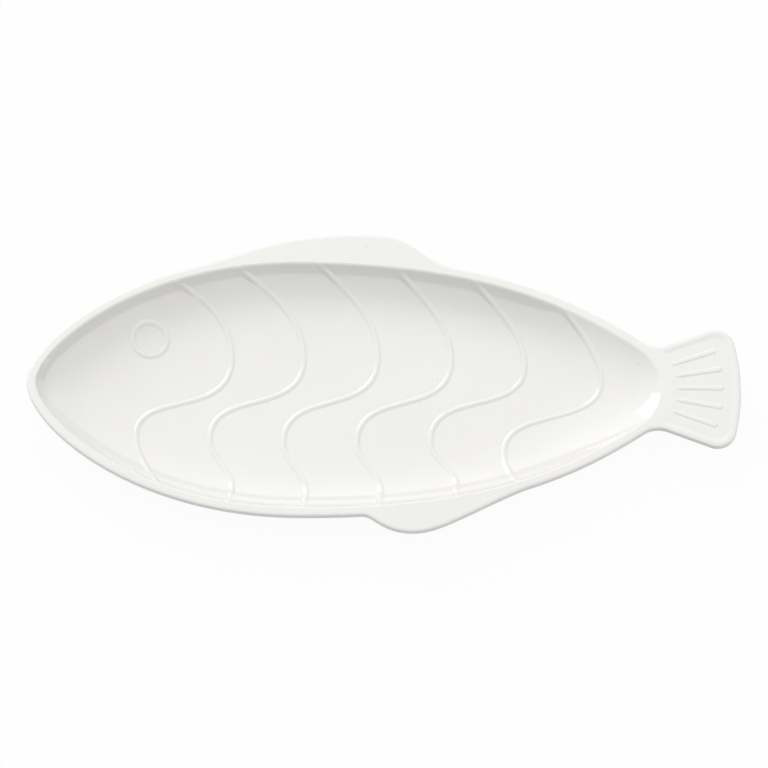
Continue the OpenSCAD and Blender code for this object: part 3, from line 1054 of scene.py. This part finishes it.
@dataclass(frozen=True)
class Dish:
    """Shell of the well: its inside and the outside of its wall."""

    across: int = 96
    under_across: int = 48
    crowding: float = 0.9
    least_facing: float = 1e-12

    def spread(self, count: int) -> np.ndarray:
        """Places across the body from -1 to 1, closer together towards its edges by a sine."""
        steps = np.linspace(-1, 1, count + 1) * self.crowding * math.pi / 2
        return np.sin(steps) / math.sin(self.crowding * math.pi / 2)

    def build(self, platter: Platter) -> Surface:
        """Rings across the body, underside and well, closed at the nose and at the tail's end by fans.

        Args:
            platter: the shared shapes.

        Returns:
            The dish's closed surface.
        """
        body = platter.body
        stations = platter.stations
        x, half, along = stations.x[:, None], stations.half[:, None], stations.along
        cosine, sine = along[:, :1], along[:, 1:]
        well_y = half * self.spread(self.across)[None, ::-1]
        well_x = np.broadcast_to(x, well_y.shape)
        height, slope_x, slope_y = platter.well.height(well_x, well_y)
        top = np.dstack([well_x, well_y, height])
        top_facing = np.dstack([-slope_x, -slope_y, np.ones(height.shape)])
        under_y = (half + body.wall_root * cosine) * self.spread(self.under_across)[None, :]
        under_x = np.broadcast_to(x - body.wall_root * sine, under_y.shape)
        low, fall, _ = platter.well.under_profile(x, platter.well.under_distance(half, cosine, under_y))
        under = np.dstack([under_x, under_y, low])
        row_way = np.gradient(under, axis=0)
        column_way = np.gradient(under, axis=1)
        # A trace of downward facing, for the folded rows at nose and tail that have none of their own
        under_facing = unit(np.cross(column_way, row_way) - np.array([0, 0, self.least_facing]))
        for column, side in ((0, -1), (-1, 1)):
            out = np.stack([-along[:, 1], side * along[:, 0]], axis=1)
            sideways = -fall[:, column, None] * out
            under_facing[:, column] = unit(np.hstack([sideways, -np.ones((len(out), 1))]))
        ring = np.concatenate([under, top], axis=1)
        facing = np.concatenate([under_facing, top_facing], axis=1)
        inside = ring[1:-1]
        rows, columns = inside.shape[:2]
        poles = np.array([under[0, 0], top[0, 0], under[-1, 0], top[-1, 0]])
        pole_facing = np.array([
            under_facing[0, 0], top_facing[0, 0],
            under_facing[-1, 0], top_facing[-1, 0],
        ])
        points = np.vstack([inside.reshape(-1, 3), poles])
        facings = np.vstack([facing[1:-1].reshape(-1, 3), pole_facing])
        first = rows * columns
        nose = self.fan(0, first, first + 1)
        end = self.fan((rows - 1) * columns, first + 2, first + 3)[:, ::-1]
        quads = grid_faces(rows, columns, round_columns=True)
        return Surface(points, facings, quads, np.vstack([nose, end]), np.zeros(len(points)))

    def fan(self, first: int, under: int, over: int) -> np.ndarray:
        """Triangles from a ring to the two points, under and over, that close it.

        Args:
            first: index of the ring's first point.
            under: index of the lower point.
            over: index of the upper one.

        Returns:
            Three indices a face.
        """
        low = np.arange(self.under_across)
        high = np.arange(self.under_across + 1, self.under_across + 1 + self.across)
        last = self.under_across + 1 + self.across
        side = np.array([
            [self.under_across, self.under_across + 1, over - first],
            [self.under_across, over - first, under - first],
            [last, 0, under - first],
            [last, under - first, over - first],
        ])
        fans = [
            np.stack([low, low + 1, np.full(len(low), under - first)], axis=1),
            np.stack([high, high + 1, np.full(len(high), over - first)], axis=1),
            side,
        ]
        return np.vstack(fans) + first

    def dress(self, platter: Platter, material: bpy.types.Material) -> list[bpy.types.Object]:
        """Makes the dish's piece with its glaze."""
        return [self.build(platter).glaze("dish", material)]


@dataclass(frozen=True)
class Rim:
    """Flat band around the well, eased into it and rounded outside where nothing joins it."""

    root_steps: int = 2
    round_steps: int = 12
    lip_steps: int = 6

    def build(self, platter: Platter) -> Surface:
        """A section carried around the well: underside, outer edge, top and lip.

        Args:
            platter: the shared shapes.

        Returns:
            The rim's closed surface.
        """
        body = platter.body
        place, out = platter.stations.around()
        edge = body.rim_width - body.edge_insets(self.round_steps)
        lip = np.linspace(body.ease, 0, self.lip_steps + 1)
        root = np.linspace(body.wall_root, edge[0], self.root_steps + 1)[:-1]
        crest = [body.rim_width / 2]
        reach = np.concatenate([root, edge, edge[::-1], crest, lip])
        plan = place[:, None, :] + reach[None, :, None] * out[:, None, :]
        lean = np.zeros(plan.shape[:2])
        drop = np.zeros(plan.shape[:2])
        edge_out = np.broadcast_to(out[:, None, :], plan.shape).copy()
        first = len(root)
        middle = first + len(edge)
        _, edge_drop, edge_lean, edge_way = platter.rounding(plan[:, first:middle])
        for part, order in ((slice(first, middle), 1), (slice(middle, middle + len(edge)), -1)):
            lean[:, part] = edge_lean[:, ::order]
            drop[:, part] = edge_drop[:, ::order]
            edge_out[:, part] = edge_way[:, ::order]
        well_height, well_fall, _ = platter.well.profile(place[:, :1], -reach[None, :])
        inward = body.wall_root - reach[None, :]
        under_height, under_fall, _ = platter.well.under_profile(place[:, :1], inward)
        below = np.arange(len(reach)) < middle
        z = np.where(below, under_height + drop, well_height - drop)
        sign = np.where(below, -1.0, 1.0)
        fall = np.where(below, -under_fall, well_fall)
        upright = np.sqrt(1 - lean**2)
        flat = edge_out * lean[..., None] + out[:, None, :] * (upright * fall)[..., None]
        facing = np.dstack([flat, upright * sign])
        points = np.dstack([plan, z])
        quads = grid_faces(*lean.shape, round_rows=True, round_columns=True)
        # Glaze thinning with painted shade on the rim's rounded edge
        return Surface.of_grid(points, facing, quads, lean**platter.THIN_AND_SHADE_POWER)

    def dress(self, platter: Platter, material: bpy.types.Material) -> list[bpy.types.Object]:
        """Makes the rim's piece with its glaze."""
        return [self.build(platter).glaze("rim", material)]


@dataclass(frozen=True)
class ScaleWaves:
    """Raised S-shaped lines across the well."""

    count: int = 6
    first_from_nose: float = 106.0
    last_to_end: float = 73.0
    swing: float = 61.7
    lean: tuple[float, ...] = (0.0, -7.0, 0.0, 3.0, 5.0, 20.0)
    drop: tuple[float, ...] = (1.5, 0.0, 0.0, 0.0, 0.0, 11.5)
    kick: tuple[float, ...] = (8.5, -1.7, -1.2, 0.0, 2.8, -2.0)
    straight: tuple[bool, ...] = (True, False, False, False, False, True)
    kick_from: float = 0.55
    kick_power: float = 1.5
    low_bend: float = -1.04
    width: float = 5.2
    height: float = 0.8
    top_loss: float = 0.5
    top_run: float = 60.0
    end_fade: float = 2.0
    end_gap: float = 0.2
    curves: int = 4
    steps: int = 320
    fine_steps: int = 8000

    def path(self, platter: Platter, number: int, along: np.ndarray) -> np.ndarray:
        """Four cubics that join at the bends of a wave.

        Their handles are shares of half the swing along the body, and across it shares of half the body's
        own width at that place, rim included. The lower end bends once more or runs straight to the lip.
        The lean moves the top of a wave towards the tail by the square of the share, the drop moves its
        middle towards the belly by 1 less that square, and the kick moves its lower end along the body,
        by a power of the share so that it sets in without a corner.

        Args:
            platter: the shared shapes.
            number: which wave, counted from the nose.
            along: places along the wave, from 0 to the number of its curves.

        Returns:
            One point a row.
        """
        bent_end = [
            [self.low_bend, -0.36], [self.low_bend, -0.5], [-0.5, -0.6],
            [-0.5, -0.75], [-0.5, -0.84], [-0.55, -0.92],
            [-0.61, -1],
        ]
        straight_end = [
            [self.low_bend, -0.39], [self.low_bend, -0.54], [-0.9, -0.66],
            [-0.81, -0.77], [-0.74, -0.855], [-0.67, -0.93],
            [-0.61, -1],
        ]
        handles = np.array([
            [-0.76, 0.985], [0.05, 0.895], [1, 0.67],
            [1, 0.31], [1, -0.18], [self.low_bend, 0.08],
            *(straight_end if self.straight[number - 1] else bent_end),
        ])
        shares = np.zeros((len(along), 2))
        for curve in range(self.curves):
            own = (along >= curve) & (along <= curve + 1)
            shares[own] = cubic(handles[3 * curve:3 * curve + 4], along[own] - curve)
        pitch = (platter.body.well_end - self.last_to_end - self.first_from_nose) / (self.count - 1)
        lean = self.lean[number - 1] * np.maximum(shares[:, 1], 0) ** 2
        low = np.maximum(-shares[:, 1] - self.kick_from, 0) / (1 - self.kick_from)
        kick = self.kick[number - 1] * low**self.kick_power
        x = self.first_from_nose + (number - 1) * pitch + shares[:, 0] * self.swing / 2 + lean + kick
        half = np.interp(x, platter.stations.x, platter.stations.half) + platter.body.rim_width
        drop = self.drop[number - 1] * (1 - shares[:, 1] ** 2)
        return np.stack([x, shares[:, 1] * half - drop], axis=1)

    def build(self, platter: Platter, number: int) -> Surface:
        """One wave, evenly stepped, lower towards its top and faded where it runs out at the lip.

        Args:
            platter: the shared shapes.
            number: which wave, counted from the nose.

        Returns:
            The wave's closed surface.
        """
        fine = self.path(platter, number, np.linspace(0, self.curves, self.fine_steps + 1))
        distance, _, _ = platter.well.distance(fine[:, 0], fine[:, 1])
        inside = np.flatnonzero(distance > self.end_gap)
        fine = fine[inside[0]:inside[-1] + 1]
        run = np.concatenate([[0], np.cumsum(np.linalg.norm(np.diff(fine, axis=0), axis=1))])
        even = np.linspace(0, run[-1], self.steps + 1)
        path = np.stack([np.interp(even, run, fine[:, k]) for k in range(2)], axis=1)
        way = unit(np.gradient(path, axis=0))
        left = np.stack([-way[:, 1], way[:, 0]], axis=1)
        from_end = np.minimum(even, run[-1] - even)
        past = np.sqrt(np.clip(1 - from_end / self.end_fade, 0, 1))
        height = self.height * (1 - self.top_loss * np.clip(1 - even / self.top_run, 0, 1) ** 2)
        return platter.raised_line(path, left, self.width / 2, height, past)

    def dress(self, platter: Platter, material: bpy.types.Material) -> list[bpy.types.Object]:
        """Makes the waves' pieces with their glaze.

        Args:
            platter: the shared shapes.
            material: the glaze.

        Returns:
            The waves from the nose on.
        """
        pieces = []
        for number in range(1, self.count + 1):
            pieces.append(self.build(platter, number).glaze(f"scale_wave_{number}", material))
        return pieces


@dataclass(frozen=True)
class EyeRing:
    """Raised ring of the eye."""

    from_nose: float = 81.0
    from_edge: float = 30.0
    diameter: float = 23.2
    width: float = 5.0
    height: float = 0.8
    steps: int = 144

    def build(self, platter: Platter) -> Surface:
        """A raised line around a circle.

        Args:
            platter: the shared shapes.

        Returns:
            The ring's closed surface.
        """
        half = np.interp(self.from_nose, platter.stations.x, platter.stations.half)
        centre = np.array([self.from_nose, half - self.from_edge])
        out = turned(360 * np.arange(self.steps) / self.steps)
        path = centre + self.diameter / 2 * out
        no_end = np.zeros(self.steps)
        return platter.raised_line(path, out, self.width / 2, self.height, no_end, closed=True)

    def dress(self, platter: Platter, material: bpy.types.Material) -> list[bpy.types.Object]:
        """Makes the eye's piece with its glaze."""
        return [self.build(platter).glaze("eye_ring", material)]


@dataclass(frozen=True)
class FootRing:
    """Oval ring of bare clay that the platter stands on."""

    from_nose: float = 92.0
    length: float = 238.0
    width: float = 84.0
    band: float = 6.0
    edge_radius: float = 1.2
    steps: int = 240
    round_steps: int = 6

    @property
    def half(self) -> np.ndarray:
        """Half its length and half its width."""
        return np.array([self.length / 2, self.width / 2])

    @property
    def centre(self) -> np.ndarray:
        """Its middle in the plane."""
        return np.array([self.from_nose + self.length / 2, 0])

    @property
    def circle(self) -> np.ndarray:
        """Points of the round that is stretched into the oval."""
        return turned(360 * np.arange(self.steps) / self.steps)

    def edge(self) -> np.ndarray:
        """Points of the foot's outer edge in the plane."""
        return self.centre + self.half * self.circle

    def build(self, platter: Platter) -> Surface:
        """A band around an ellipse, with its two lower edges rounded.

        Args:
            platter: the shared shapes.

        Returns:
            The ring's closed surface.
        """
        turn = np.linspace(0, math.pi / 2, self.round_steps + 1)
        top = platter.body.foot_height
        inset = np.concatenate([[0], self.edge_radius * (1 - np.cos(turn))])
        height = np.concatenate([[top], self.edge_radius * (1 - np.sin(turn))])
        lean = np.concatenate([[1], np.cos(turn)])
        down = np.concatenate([[0], -np.sin(turn)])
        inset = np.concatenate([inset, self.band - inset[::-1]])
        height = np.concatenate([height, height[::-1]])
        lean = np.concatenate([lean, -lean[::-1]])
        down = np.concatenate([down, down[::-1]])
        plan = self.centre + self.circle[:, None, :] * (self.half - inset[:, None])
        out = unit(self.circle / self.half)
        flat = out[:, None, :] * lean[None, :, None]
        shape = plan.shape[:2]
        points = np.dstack([plan, np.broadcast_to(height, shape)])
        facing = np.dstack([flat, np.broadcast_to(down, shape)])
        quads = grid_faces(*shape, round_rows=True, round_columns=True)
        return Surface.of_grid(points, facing, quads, np.zeros(shape))

    def dress(self, platter: Platter, material: bpy.types.Material) -> list[bpy.types.Object]:
        """Makes the foot's piece in bare clay."""
        return [self.build(platter).make("foot_ring_bare", ["foot_ring"], Slot.BARE_CLAY, material)]


class NodeBench:
    """Adds and wires the nodes of one node tree."""

    def __init__(self, tree: bpy.types.NodeTree) -> None:
        """Starts on an empty tree."""
        self.tree = tree
        tree.nodes.clear()

    def add(self, kind: str, **settings: object) -> bpy.types.Node:
        """Adds a node.

        Args:
            kind: its type, without the leading word ShaderNode, or Node for a group's ends.
            settings: properties to set on it.

        Returns:
            The node.
        """
        prefix = "Node" if kind.startswith("Group") and kind != "Group" else "ShaderNode"
        node = self.tree.nodes.new(prefix + kind)
        for key, value in settings.items():
            setattr(node, key, value)
        return node

    def link(self, start: bpy.types.NodeSocket, end: bpy.types.NodeSocket) -> None:
        """Joins an output to an input."""
        self.tree.links.new(start, end)

    def feed(self, socket: bpy.types.NodeSocket, value: Feed) -> None:
        """Links an input to an output, or sets it.

        Args:
            socket: the input.
            value: what it takes.
        """
        if isinstance(value, bpy.types.NodeSocket):
            self.link(value, socket)
        else:
            socket.default_value = value

    def fill(self, node: bpy.types.Node, **values: Feed) -> bpy.types.Node:
        """Feeds a node's inputs by name, with _ for a space.

        Args:
            node: the node.
            values: what its inputs take.

        Returns:
            The same node.
        """
        for key, value in values.items():
            self.feed(node.inputs[key.replace("_", " ")], value)
        return node

    def noise(self, vector: bpy.types.NodeSocket, scale: Feed, detail: float) -> bpy.types.NodeSocket:
        """Noise between 0 and 1 over the surface."""
        node = self.fill(self.add("TexNoise"), Vector=vector, Scale=scale, Detail=detail)
        return node.outputs[0]

    def spread(
        self, value: bpy.types.NodeSocket, low: Feed, high: Feed, first: float, last: float
    ) -> bpy.types.NodeSocket:
        """Carries a value from one range into another one, smoothly and clamped.

        Args:
            value: the value.
            low: where its range starts.
            high: where its range ends.
            first: result where it starts.
            last: result where it ends.

        Returns:
            The result.
        """
        node = self.add("MapRange", interpolation_type="SMOOTHSTEP")
        self.fill(node, Value=value, From_Min=low, From_Max=high, To_Min=first, To_Max=last)
        return node.outputs["Result"]

    def sums(self, kind: str, first: Feed, second: Feed) -> bpy.types.NodeSocket:
        """Arithmetic on two values.

        Args:
            kind: what is done with them, as the node names it.
            first: the first value.
            second: the second one.

        Returns:
            The result.
        """
        node = self.add("Math", operation=kind)
        for socket, value in zip(node.inputs, (first, second)):
            self.feed(socket, value)
        return node.outputs[0]

    def blend(self, share: Feed, first: Feed, second: Feed) -> bpy.types.NodeSocket:
        """Colour between two colours.

        The node has inputs of the same name for numbers and for colours, so they are told apart by their
        identifiers.

        Args:
            share: share of the second colour.
            first: the first colour.
            second: the second one.

        Returns:
            The colour between them.
        """
        node = self.add("Mix", data_type="RGBA")
        feeds = {"Factor_Float": share, "A_Color": first, "B_Color": second}
        for socket in node.inputs:
            if socket.identifier in feeds:
                self.feed(socket, feeds[socket.identifier])
        return next(socket for socket in node.outputs if socket.identifier == "Result_Color")

    def mix_shaders(
        self, share: bpy.types.NodeSocket, first: bpy.types.Node, second: bpy.types.Node
    ) -> bpy.types.NodeSocket:
        """Mixes two shaders.

        Args:
            share: share of the second shader.
            first: the first shader's node.
            second: the second one's.

        Returns:
            The mixed shader.
        """
        mix = self.add("MixShader")
        for socket, value in zip(mix.inputs, (share, first.outputs[0], second.outputs[0])):
            self.link(value, socket)
        return mix.outputs[0]


def new_material(name: str) -> tuple[bpy.types.Material, NodeBench]:
    """Starts a material.

    Args:
        name: its name.

    Returns:
        The material, and the bench of its nodes.
    """
    material = bpy.data.materials.new(name)
    material.use_nodes = True
    return material, NodeBench(material.node_tree)


def new_group(
    name: str, inputs: dict[str, str], outputs: dict[str, str]
) -> tuple[bpy.types.NodeTree, NodeBench, bpy.types.NodeOutputs, bpy.types.NodeInputs]:
    """Starts a shader node group.

    Args:
        name: its name.
        inputs: socket types by name.
        outputs: socket types by name.

    Returns:
        The group, its bench, the sockets that bring its inputs, and those that take its results.
    """
    group = bpy.data.node_groups.new(name, "ShaderNodeTree")
    for key, kind in inputs.items():
        group.interface.new_socket(name=key, in_out="INPUT", socket_type=kind)
    for key, kind in outputs.items():
        group.interface.new_socket(name=key, in_out="OUTPUT", socket_type=kind)
    bench = NodeBench(group)
    start = bench.add("GroupInput")
    end = bench.add("GroupOutput")
    return group, bench, start.outputs, end.inputs


@dataclass(frozen=True)
class KilnCloud:
    """Slow clouds of a fired surface: a wide noise and a finer one, put together."""

    wide_detail: float = 2.0
    fine_detail: float = 4.0
    fine_scale: float = 7.3
    fine_share: float = 0.3
    ends: tuple[float, float] = (0.3, 0.7)

    def group(self) -> bpy.types.NodeTree:
        """Builds the clouds' node group.

        Returns:
            The group, with Vector and Scale in and Cloud out.
        """
        group, bench, start, end = new_group(
            "kiln_cloud",
            {"Vector": "NodeSocketVector", "Scale": "NodeSocketFloat"},
            {"Cloud": "NodeSocketFloat"},
        )
        wide = bench.noise(start["Vector"], start["Scale"], self.wide_detail)
        finer_scale = bench.sums("MULTIPLY", start["Scale"], self.fine_scale)
        finer = bench.noise(start["Vector"], finer_scale, self.fine_detail)
        wide_part = bench.sums("MULTIPLY", wide, 1 - self.fine_share)
        both = bench.sums("ADD", wide_part, bench.sums("MULTIPLY", finer, self.fine_share))
        bench.link(bench.spread(both, *self.ends, 0.0, 1.0), end["Cloud"])
        return group


@dataclass(frozen=True)
class FiredSpeck:
    """Rare dark specks: dots of cells, kept only where a cell's own random value lies below a share."""

    core_share: float = 0.5

    def group(self) -> bpy.types.NodeTree:
        """Builds the specks' node group.

        Returns:
            The group, with Vector, Scale, Size and Share in and Speck out.
        """
        group, bench, start, end = new_group(
            "fired_speck",
            {
                "Vector": "NodeSocketVector",
                "Scale": "NodeSocketFloat",
                "Size": "NodeSocketFloat",
                "Share": "NodeSocketFloat",
            },
            {"Speck": "NodeSocketFloat"},
        )
        cells = bench.fill(bench.add("TexVoronoi"), Vector=start["Vector"], Scale=start["Scale"])
        core = bench.sums("MULTIPLY", start["Size"], self.core_share)
        dot = bench.spread(cells.outputs["Distance"], core, start["Size"], 1.0, 0.0)
        chance = bench.add("SeparateColor")
        bench.link(cells.outputs["Color"], chance.inputs[0])
        lucky = bench.sums("LESS_THAN", chance.outputs[0], start["Share"])
        bench.link(bench.sums("MULTIPLY", dot, lucky), end["Speck"])
        return group


@dataclass(frozen=True)
class Finish:
    """A fired finish: its tints, its gloss and the sizes of what varies on it.

    Scales count patterns in a metre, and depths are in metres.
    """

    name: str
    tint: tuple[float, float, float]
    cloud_tint: tuple[float, float, float]
    # Darkening of edges that lean sideways: glaze thinning there, and painted shade
    edge_thin_and_shade_tint: tuple[float, float, float]
    edge_thin_and_shade_share: float
    speck_tint: tuple[float, float, float]
    cloud_scale: float
    speck_scale: float
    speck_size: float
    speck_share: float
    roughness: tuple[float, float]
    ripple_scale: float
    ripple_depth: float
    grain_scale: float
    grain_depth: float
    coat: float
    ripple_detail: float = 1.0
    grain_detail: float = 3.0
    coat_roughness: float = 0.04
    refraction: float = 1.5

    def material(self, cloud: bpy.types.NodeTree, speck: bpy.types.NodeTree) -> bpy.types.Material:
        """Clouded tint with specks, thin glaze and painted shade on edges, varied gloss, a ripple with a
        grain.

        Args:
            cloud: the group of slow clouds.
            speck: the group of rare specks.

        Returns:
            The material.
        """
        material, bench = new_material(self.name)
        place = bench.add("TexCoord").outputs["Object"]
        clouds = bench.fill(bench.add("Group", node_tree=cloud), Vector=place, Scale=self.cloud_scale)
        specks = bench.fill(
            bench.add("Group", node_tree=speck),
            Vector=place,
            Scale=self.speck_scale,
            Size=self.speck_size,
            Share=self.speck_share,
        )
        thin_and_shade = bench.add("Attribute", attribute_name="thin_glaze_and_edge_shade")
        ground = bench.blend(clouds.outputs["Cloud"], (*self.tint, 1), (*self.cloud_tint, 1))
        # Painted shade, with the glaze thinning, darkens edges by how far they lean sideways
        edge_darkening = bench.sums("MULTIPLY", thin_and_shade.outputs["Fac"], self.edge_thin_and_shade_share)
        edge_darkened = bench.blend(edge_darkening, ground, (*self.edge_thin_and_shade_tint, 1))
        colour = bench.blend(specks.outputs["Speck"], edge_darkened, (*self.speck_tint, 1))
        gloss = bench.spread(clouds.outputs["Cloud"], 0.0, 1.0, *self.roughness)
        slow = bench.noise(place, self.ripple_scale, self.ripple_detail)
        ripple = bench.sums("MULTIPLY", slow, self.ripple_depth)
        fine = bench.noise(place, self.grain_scale, self.grain_detail)
        grain = bench.sums("MULTIPLY", fine, self.grain_depth)
        bump = bench.add("Bump")
        bench.fill(bump, Height=bench.sums("ADD", ripple, grain), Strength=1.0, Distance=1.0)
        shader = bench.add("BsdfPrincipled")
        bench.fill(
            shader,
            Base_Color=colour,
            Roughness=gloss,
            Normal=bump.outputs["Normal"],
            Coat_Weight=self.coat,
            Coat_Roughness=self.coat_roughness,
            IOR=self.refraction,
        )
        output = bench.add("OutputMaterial")
        bench.link(shader.outputs[0], output.inputs["Surface"])
        return material


WHITE_GLAZE = Finish(
    name="white_glaze",
    tint=(0.86, 0.853, 0.826),
    cloud_tint=(0.84, 0.832, 0.8),
    # Cool grey of painted shade on edges that turn away, with the glaze thinning there
    edge_thin_and_shade_tint=(0.5, 0.505, 0.51),
    edge_thin_and_shade_share=0.7,
    speck_tint=(0.22, 0.2, 0.17),
    cloud_scale=14.0,
    speck_scale=60.0,
    speck_size=0.022,
    speck_share=0.3,
    roughness=(0.1, 0.16),
    ripple_scale=45.0,
    ripple_depth=0.00006,
    grain_scale=700.0,
    grain_depth=0.000003,
    coat=1.0,
)
BARE_CLAY = Finish(
    name="bare_clay",
    tint=(0.66, 0.58, 0.47),
    cloud_tint=(0.56, 0.48, 0.38),
    edge_thin_and_shade_tint=(0.7, 0.64, 0.55),
    edge_thin_and_shade_share=0.0,
    speck_tint=(0.2, 0.15, 0.11),
    cloud_scale=40.0,
    speck_scale=500.0,
    speck_size=0.2,
    speck_share=0.25,
    roughness=(0.82, 0.94),
    ripple_scale=160.0,
    ripple_depth=0.00015,
    grain_scale=1800.0,
    grain_depth=0.00006,
    coat=0.0,
)


@dataclass(frozen=True)
class Studio:
    """Plain pale floor, soft light from the upper left behind the platter, a dark card and the camera.

    Sizes and places are in metres of the frame, powers in watts, angles in degrees, and the camera's
    sensor in millimetres.
    """

    floor_size: float = 8.0
    floor_tint: float = 0.9
    floor_glow: float = 0.94
    sky: float = 0.615
    key_power: float = 65.0
    key_size: tuple[float, float] = (4.4, 5.6)
    key_place: tuple[float, float, float] = (-1.55, 2.13, 2.2)
    glow: float = 0.75
    glow_angles: tuple[float, float] = (80.0, 5.0)
    strip_power: float = 5.4
    strip_size: tuple[float, float] = (1.03, 0.9)
    strip_place: tuple[float, float, float] = (-1.11, 1.5, 0.61)
    side_power: float = 7.0
    side_size: tuple[float, float] = (1.8, 1.6)
    side_place: tuple[float, float, float] = (1.6, -0.1, 1.15)
    card_radius: float = 1.25
    card_height: float = 0.58
    card_turns: tuple[float, float] = (-150.0, 20.0)
    card_steps: int = 32
    card_tint: float = 0.03
    elevation: float = 64.0
    azimuth: float = 0.63
    distance: float = 3.2
    picture_width: float = 0.516
    aim: tuple[float, float, float] = (0.0002, -0.0024, 0.028)
    sensor: float = 36.0
    view_end: float = 50.0

    def white_for_camera(self, bench: NodeBench) -> bpy.types.NodeSocket:
        """Tells the rays that see the white ground from those that carry light.

        Args:
            bench: the nodes of the floor or the sky.

        Returns:
            1 for rays from the camera, mirrors and glass, and 0 for all others.
        """
        path = bench.add("LightPath")
        first = bench.sums("MAXIMUM", path.outputs["Is Camera Ray"], path.outputs["Is Glossy Ray"])
        return bench.sums("MAXIMUM", first, path.outputs["Is Transmission Ray"])

    def lay_floor(self) -> bpy.types.Object:
        """Makes the floor, white to the camera but still shaded a little by the platter.

        Returns:
            The floor.
        """
        half = self.floor_size / 2
        mesh = bpy.data.meshes.new("floor")
        corners = np.array([[-half, -half, 0], [half, -half, 0], [half, half, 0], [-half, half, 0]])
        mesh.from_pydata(corners.tolist(), [], [[0, 1, 2, 3]])
        floor = put("floor", mesh)
        material, bench = new_material("white_floor")
        matte = bench.fill(bench.add("BsdfDiffuse"), Color=(self.floor_tint,) * 3 + (1,))
        glow = bench.fill(bench.add("Emission"), Color=WHITE, Strength=1.0)
        share = bench.sums("MULTIPLY", self.white_for_camera(bench), self.floor_glow)
        mixed = bench.mix_shaders(share, matte, glow)
        bench.link(mixed, bench.add("OutputMaterial").inputs["Surface"])
        mesh.materials.append(material)
        return floor

    def stand_card(self) -> bpy.types.Object:
        """Stands a curved dark card low around the front, which the wall below the far lip mirrors.

        Returns:
            The card, which only mirrored rays see.
        """
        round_front = self.card_radius * turned(np.linspace(*self.card_turns, self.card_steps))
        foot = np.column_stack([round_front, np.zeros(self.card_steps)])
        top = np.column_stack([round_front, np.full(self.card_steps, self.card_height)])
        mesh = bpy.data.meshes.new("dark_card")
        mesh.from_pydata(np.vstack([foot, top]).tolist(), [], grid_faces(2, self.card_steps).tolist())
        card = put("dark_card", mesh)
        card.visible_camera = False
        card.visible_diffuse = False
        card.visible_shadow = False
        material, bench = new_material("dark_card")
        matte = bench.fill(bench.add("BsdfDiffuse"), Color=(self.card_tint,) * 3 + (1,))
        bench.link(matte.outputs[0], bench.add("OutputMaterial").inputs["Surface"])
        mesh.materials.append(material)
        return card

    def mirrored_glow(self, bench: NodeBench) -> bpy.types.NodeSocket:
        """Light that mirrored rays alone find around the key light's direction, with a soft edge.

        Args:
            bench: the sky's nodes.

        Returns:
            The glow's strength.
        """
        toward = bench.add("VectorMath", operation="DOT_PRODUCT")
        bench.link(bench.add("TexCoord").outputs["Generated"], toward.inputs[0])
        toward.inputs[1].default_value = Vector(self.key_place).normalized()
        outer, inner = (math.cos(math.radians(angle)) for angle in self.glow_angles)
        share = bench.spread(toward.outputs["Value"], outer, inner, 0.0, self.glow)
        return bench.sums("MULTIPLY", share, bench.add("LightPath").outputs["Is Glossy Ray"])

    def light_sky(self) -> None:
        """Even pale light from all round, white to the camera and with the glow to mirrored rays."""
        world = bpy.data.worlds.new("studio")
        world.use_nodes = True
        bpy.context.scene.world = world
        bench = NodeBench(world.node_tree)
        soft = bench.fill(bench.add("Background"), Color=WHITE, Strength=self.sky)
        bright = bench.sums("ADD", self.mirrored_glow(bench), 1.0)
        white = bench.fill(bench.add("Background"), Color=WHITE, Strength=bright)
        mixed = bench.mix_shaders(self.white_for_camera(bench), soft, white)
        bench.link(mixed, bench.add("OutputWorld").inputs["Surface"])

    def hang_light(
        self, name: str, place: tuple[float, float, float], size: tuple[float, float], power: float
    ) -> bpy.types.Object:
        """Hangs a rectangular soft light that looks at the platter.

        Args:
            name: its name.
            place: where it hangs.
            size: its width and height.
            power: its power in watts.

        Returns:
            The light.
        """
        data = bpy.data.lights.new(name, "AREA")
        data.shape = "RECTANGLE"
        data.size, data.size_y = size
        data.energy = power
        light = put(name, data)
        light.location = place
        light.rotation_euler = (-Vector(place)).to_track_quat("-Z", "Y").to_euler()
        return light

    def set_camera(self) -> bpy.types.Object:
        """Sets the camera at the picture's height and direction, with a long lens.

        Returns:
            The camera.
        """
        tilt = math.radians(self.elevation)
        turn = math.radians(self.azimuth)
        back = Vector((math.sin(turn) * math.cos(tilt), -math.cos(turn) * math.cos(tilt), math.sin(tilt)))
        data = bpy.data.cameras.new("camera")
        data.sensor_width = self.sensor
        data.lens = self.sensor * self.distance / self.picture_width
        data.clip_end = self.view_end
        camera = put("camera", data)
        camera.location = Vector(self.aim) + back * self.distance
        camera.rotation_euler = (-back).to_track_quat("-Z", "Y").to_euler()
        bpy.context.scene.camera = camera
        return camera

    def build(self) -> None:
        """Lays the floor, stands the card, lights the platter and sets the camera."""
        bpy.context.scene.view_settings.view_transform = "Standard"
        self.lay_floor()
        self.stand_card()
        self.light_sky()
        key = self.hang_light("key_light", self.key_place, self.key_size, self.key_power)
        key.visible_glossy = False
        self.hang_light("strip_light", self.strip_place, self.strip_size, self.strip_power)
        side = self.hang_light("side_light", self.side_place, self.side_size, self.side_power)
        side.visible_glossy = False
        self.set_camera()


def main() -> None:
    """Builds the platter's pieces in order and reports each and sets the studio."""
    logging.basicConfig(level=logging.INFO, format="%(name)s: %(message)s")
    fins = [BACK_FIN, BELLY_FIN]
    tail = TailFin()
    foot = FootRing()
    platter = Platter(FishBody(), fins, tail, foot)
    cloud = KilnCloud().group()
    speck = FiredSpeck().group()
    glaze = WHITE_GLAZE.material(cloud, speck)
    clay = BARE_CLAY.material(cloud, speck)
    dressed = [(part, glaze) for part in (Dish(), Rim(), *fins, tail, ScaleWaves(), EyeRing())]
    dressed.append((foot, clay))
    for part, material in dressed:
        for piece in part.dress(platter, material):
            mesh = piece.data
            LOG.info("%s: %d points, %d faces", piece.name, len(mesh.vertices), len(mesh.polygons))
    Studio().build()


if __name__ == "__main__":
    main()
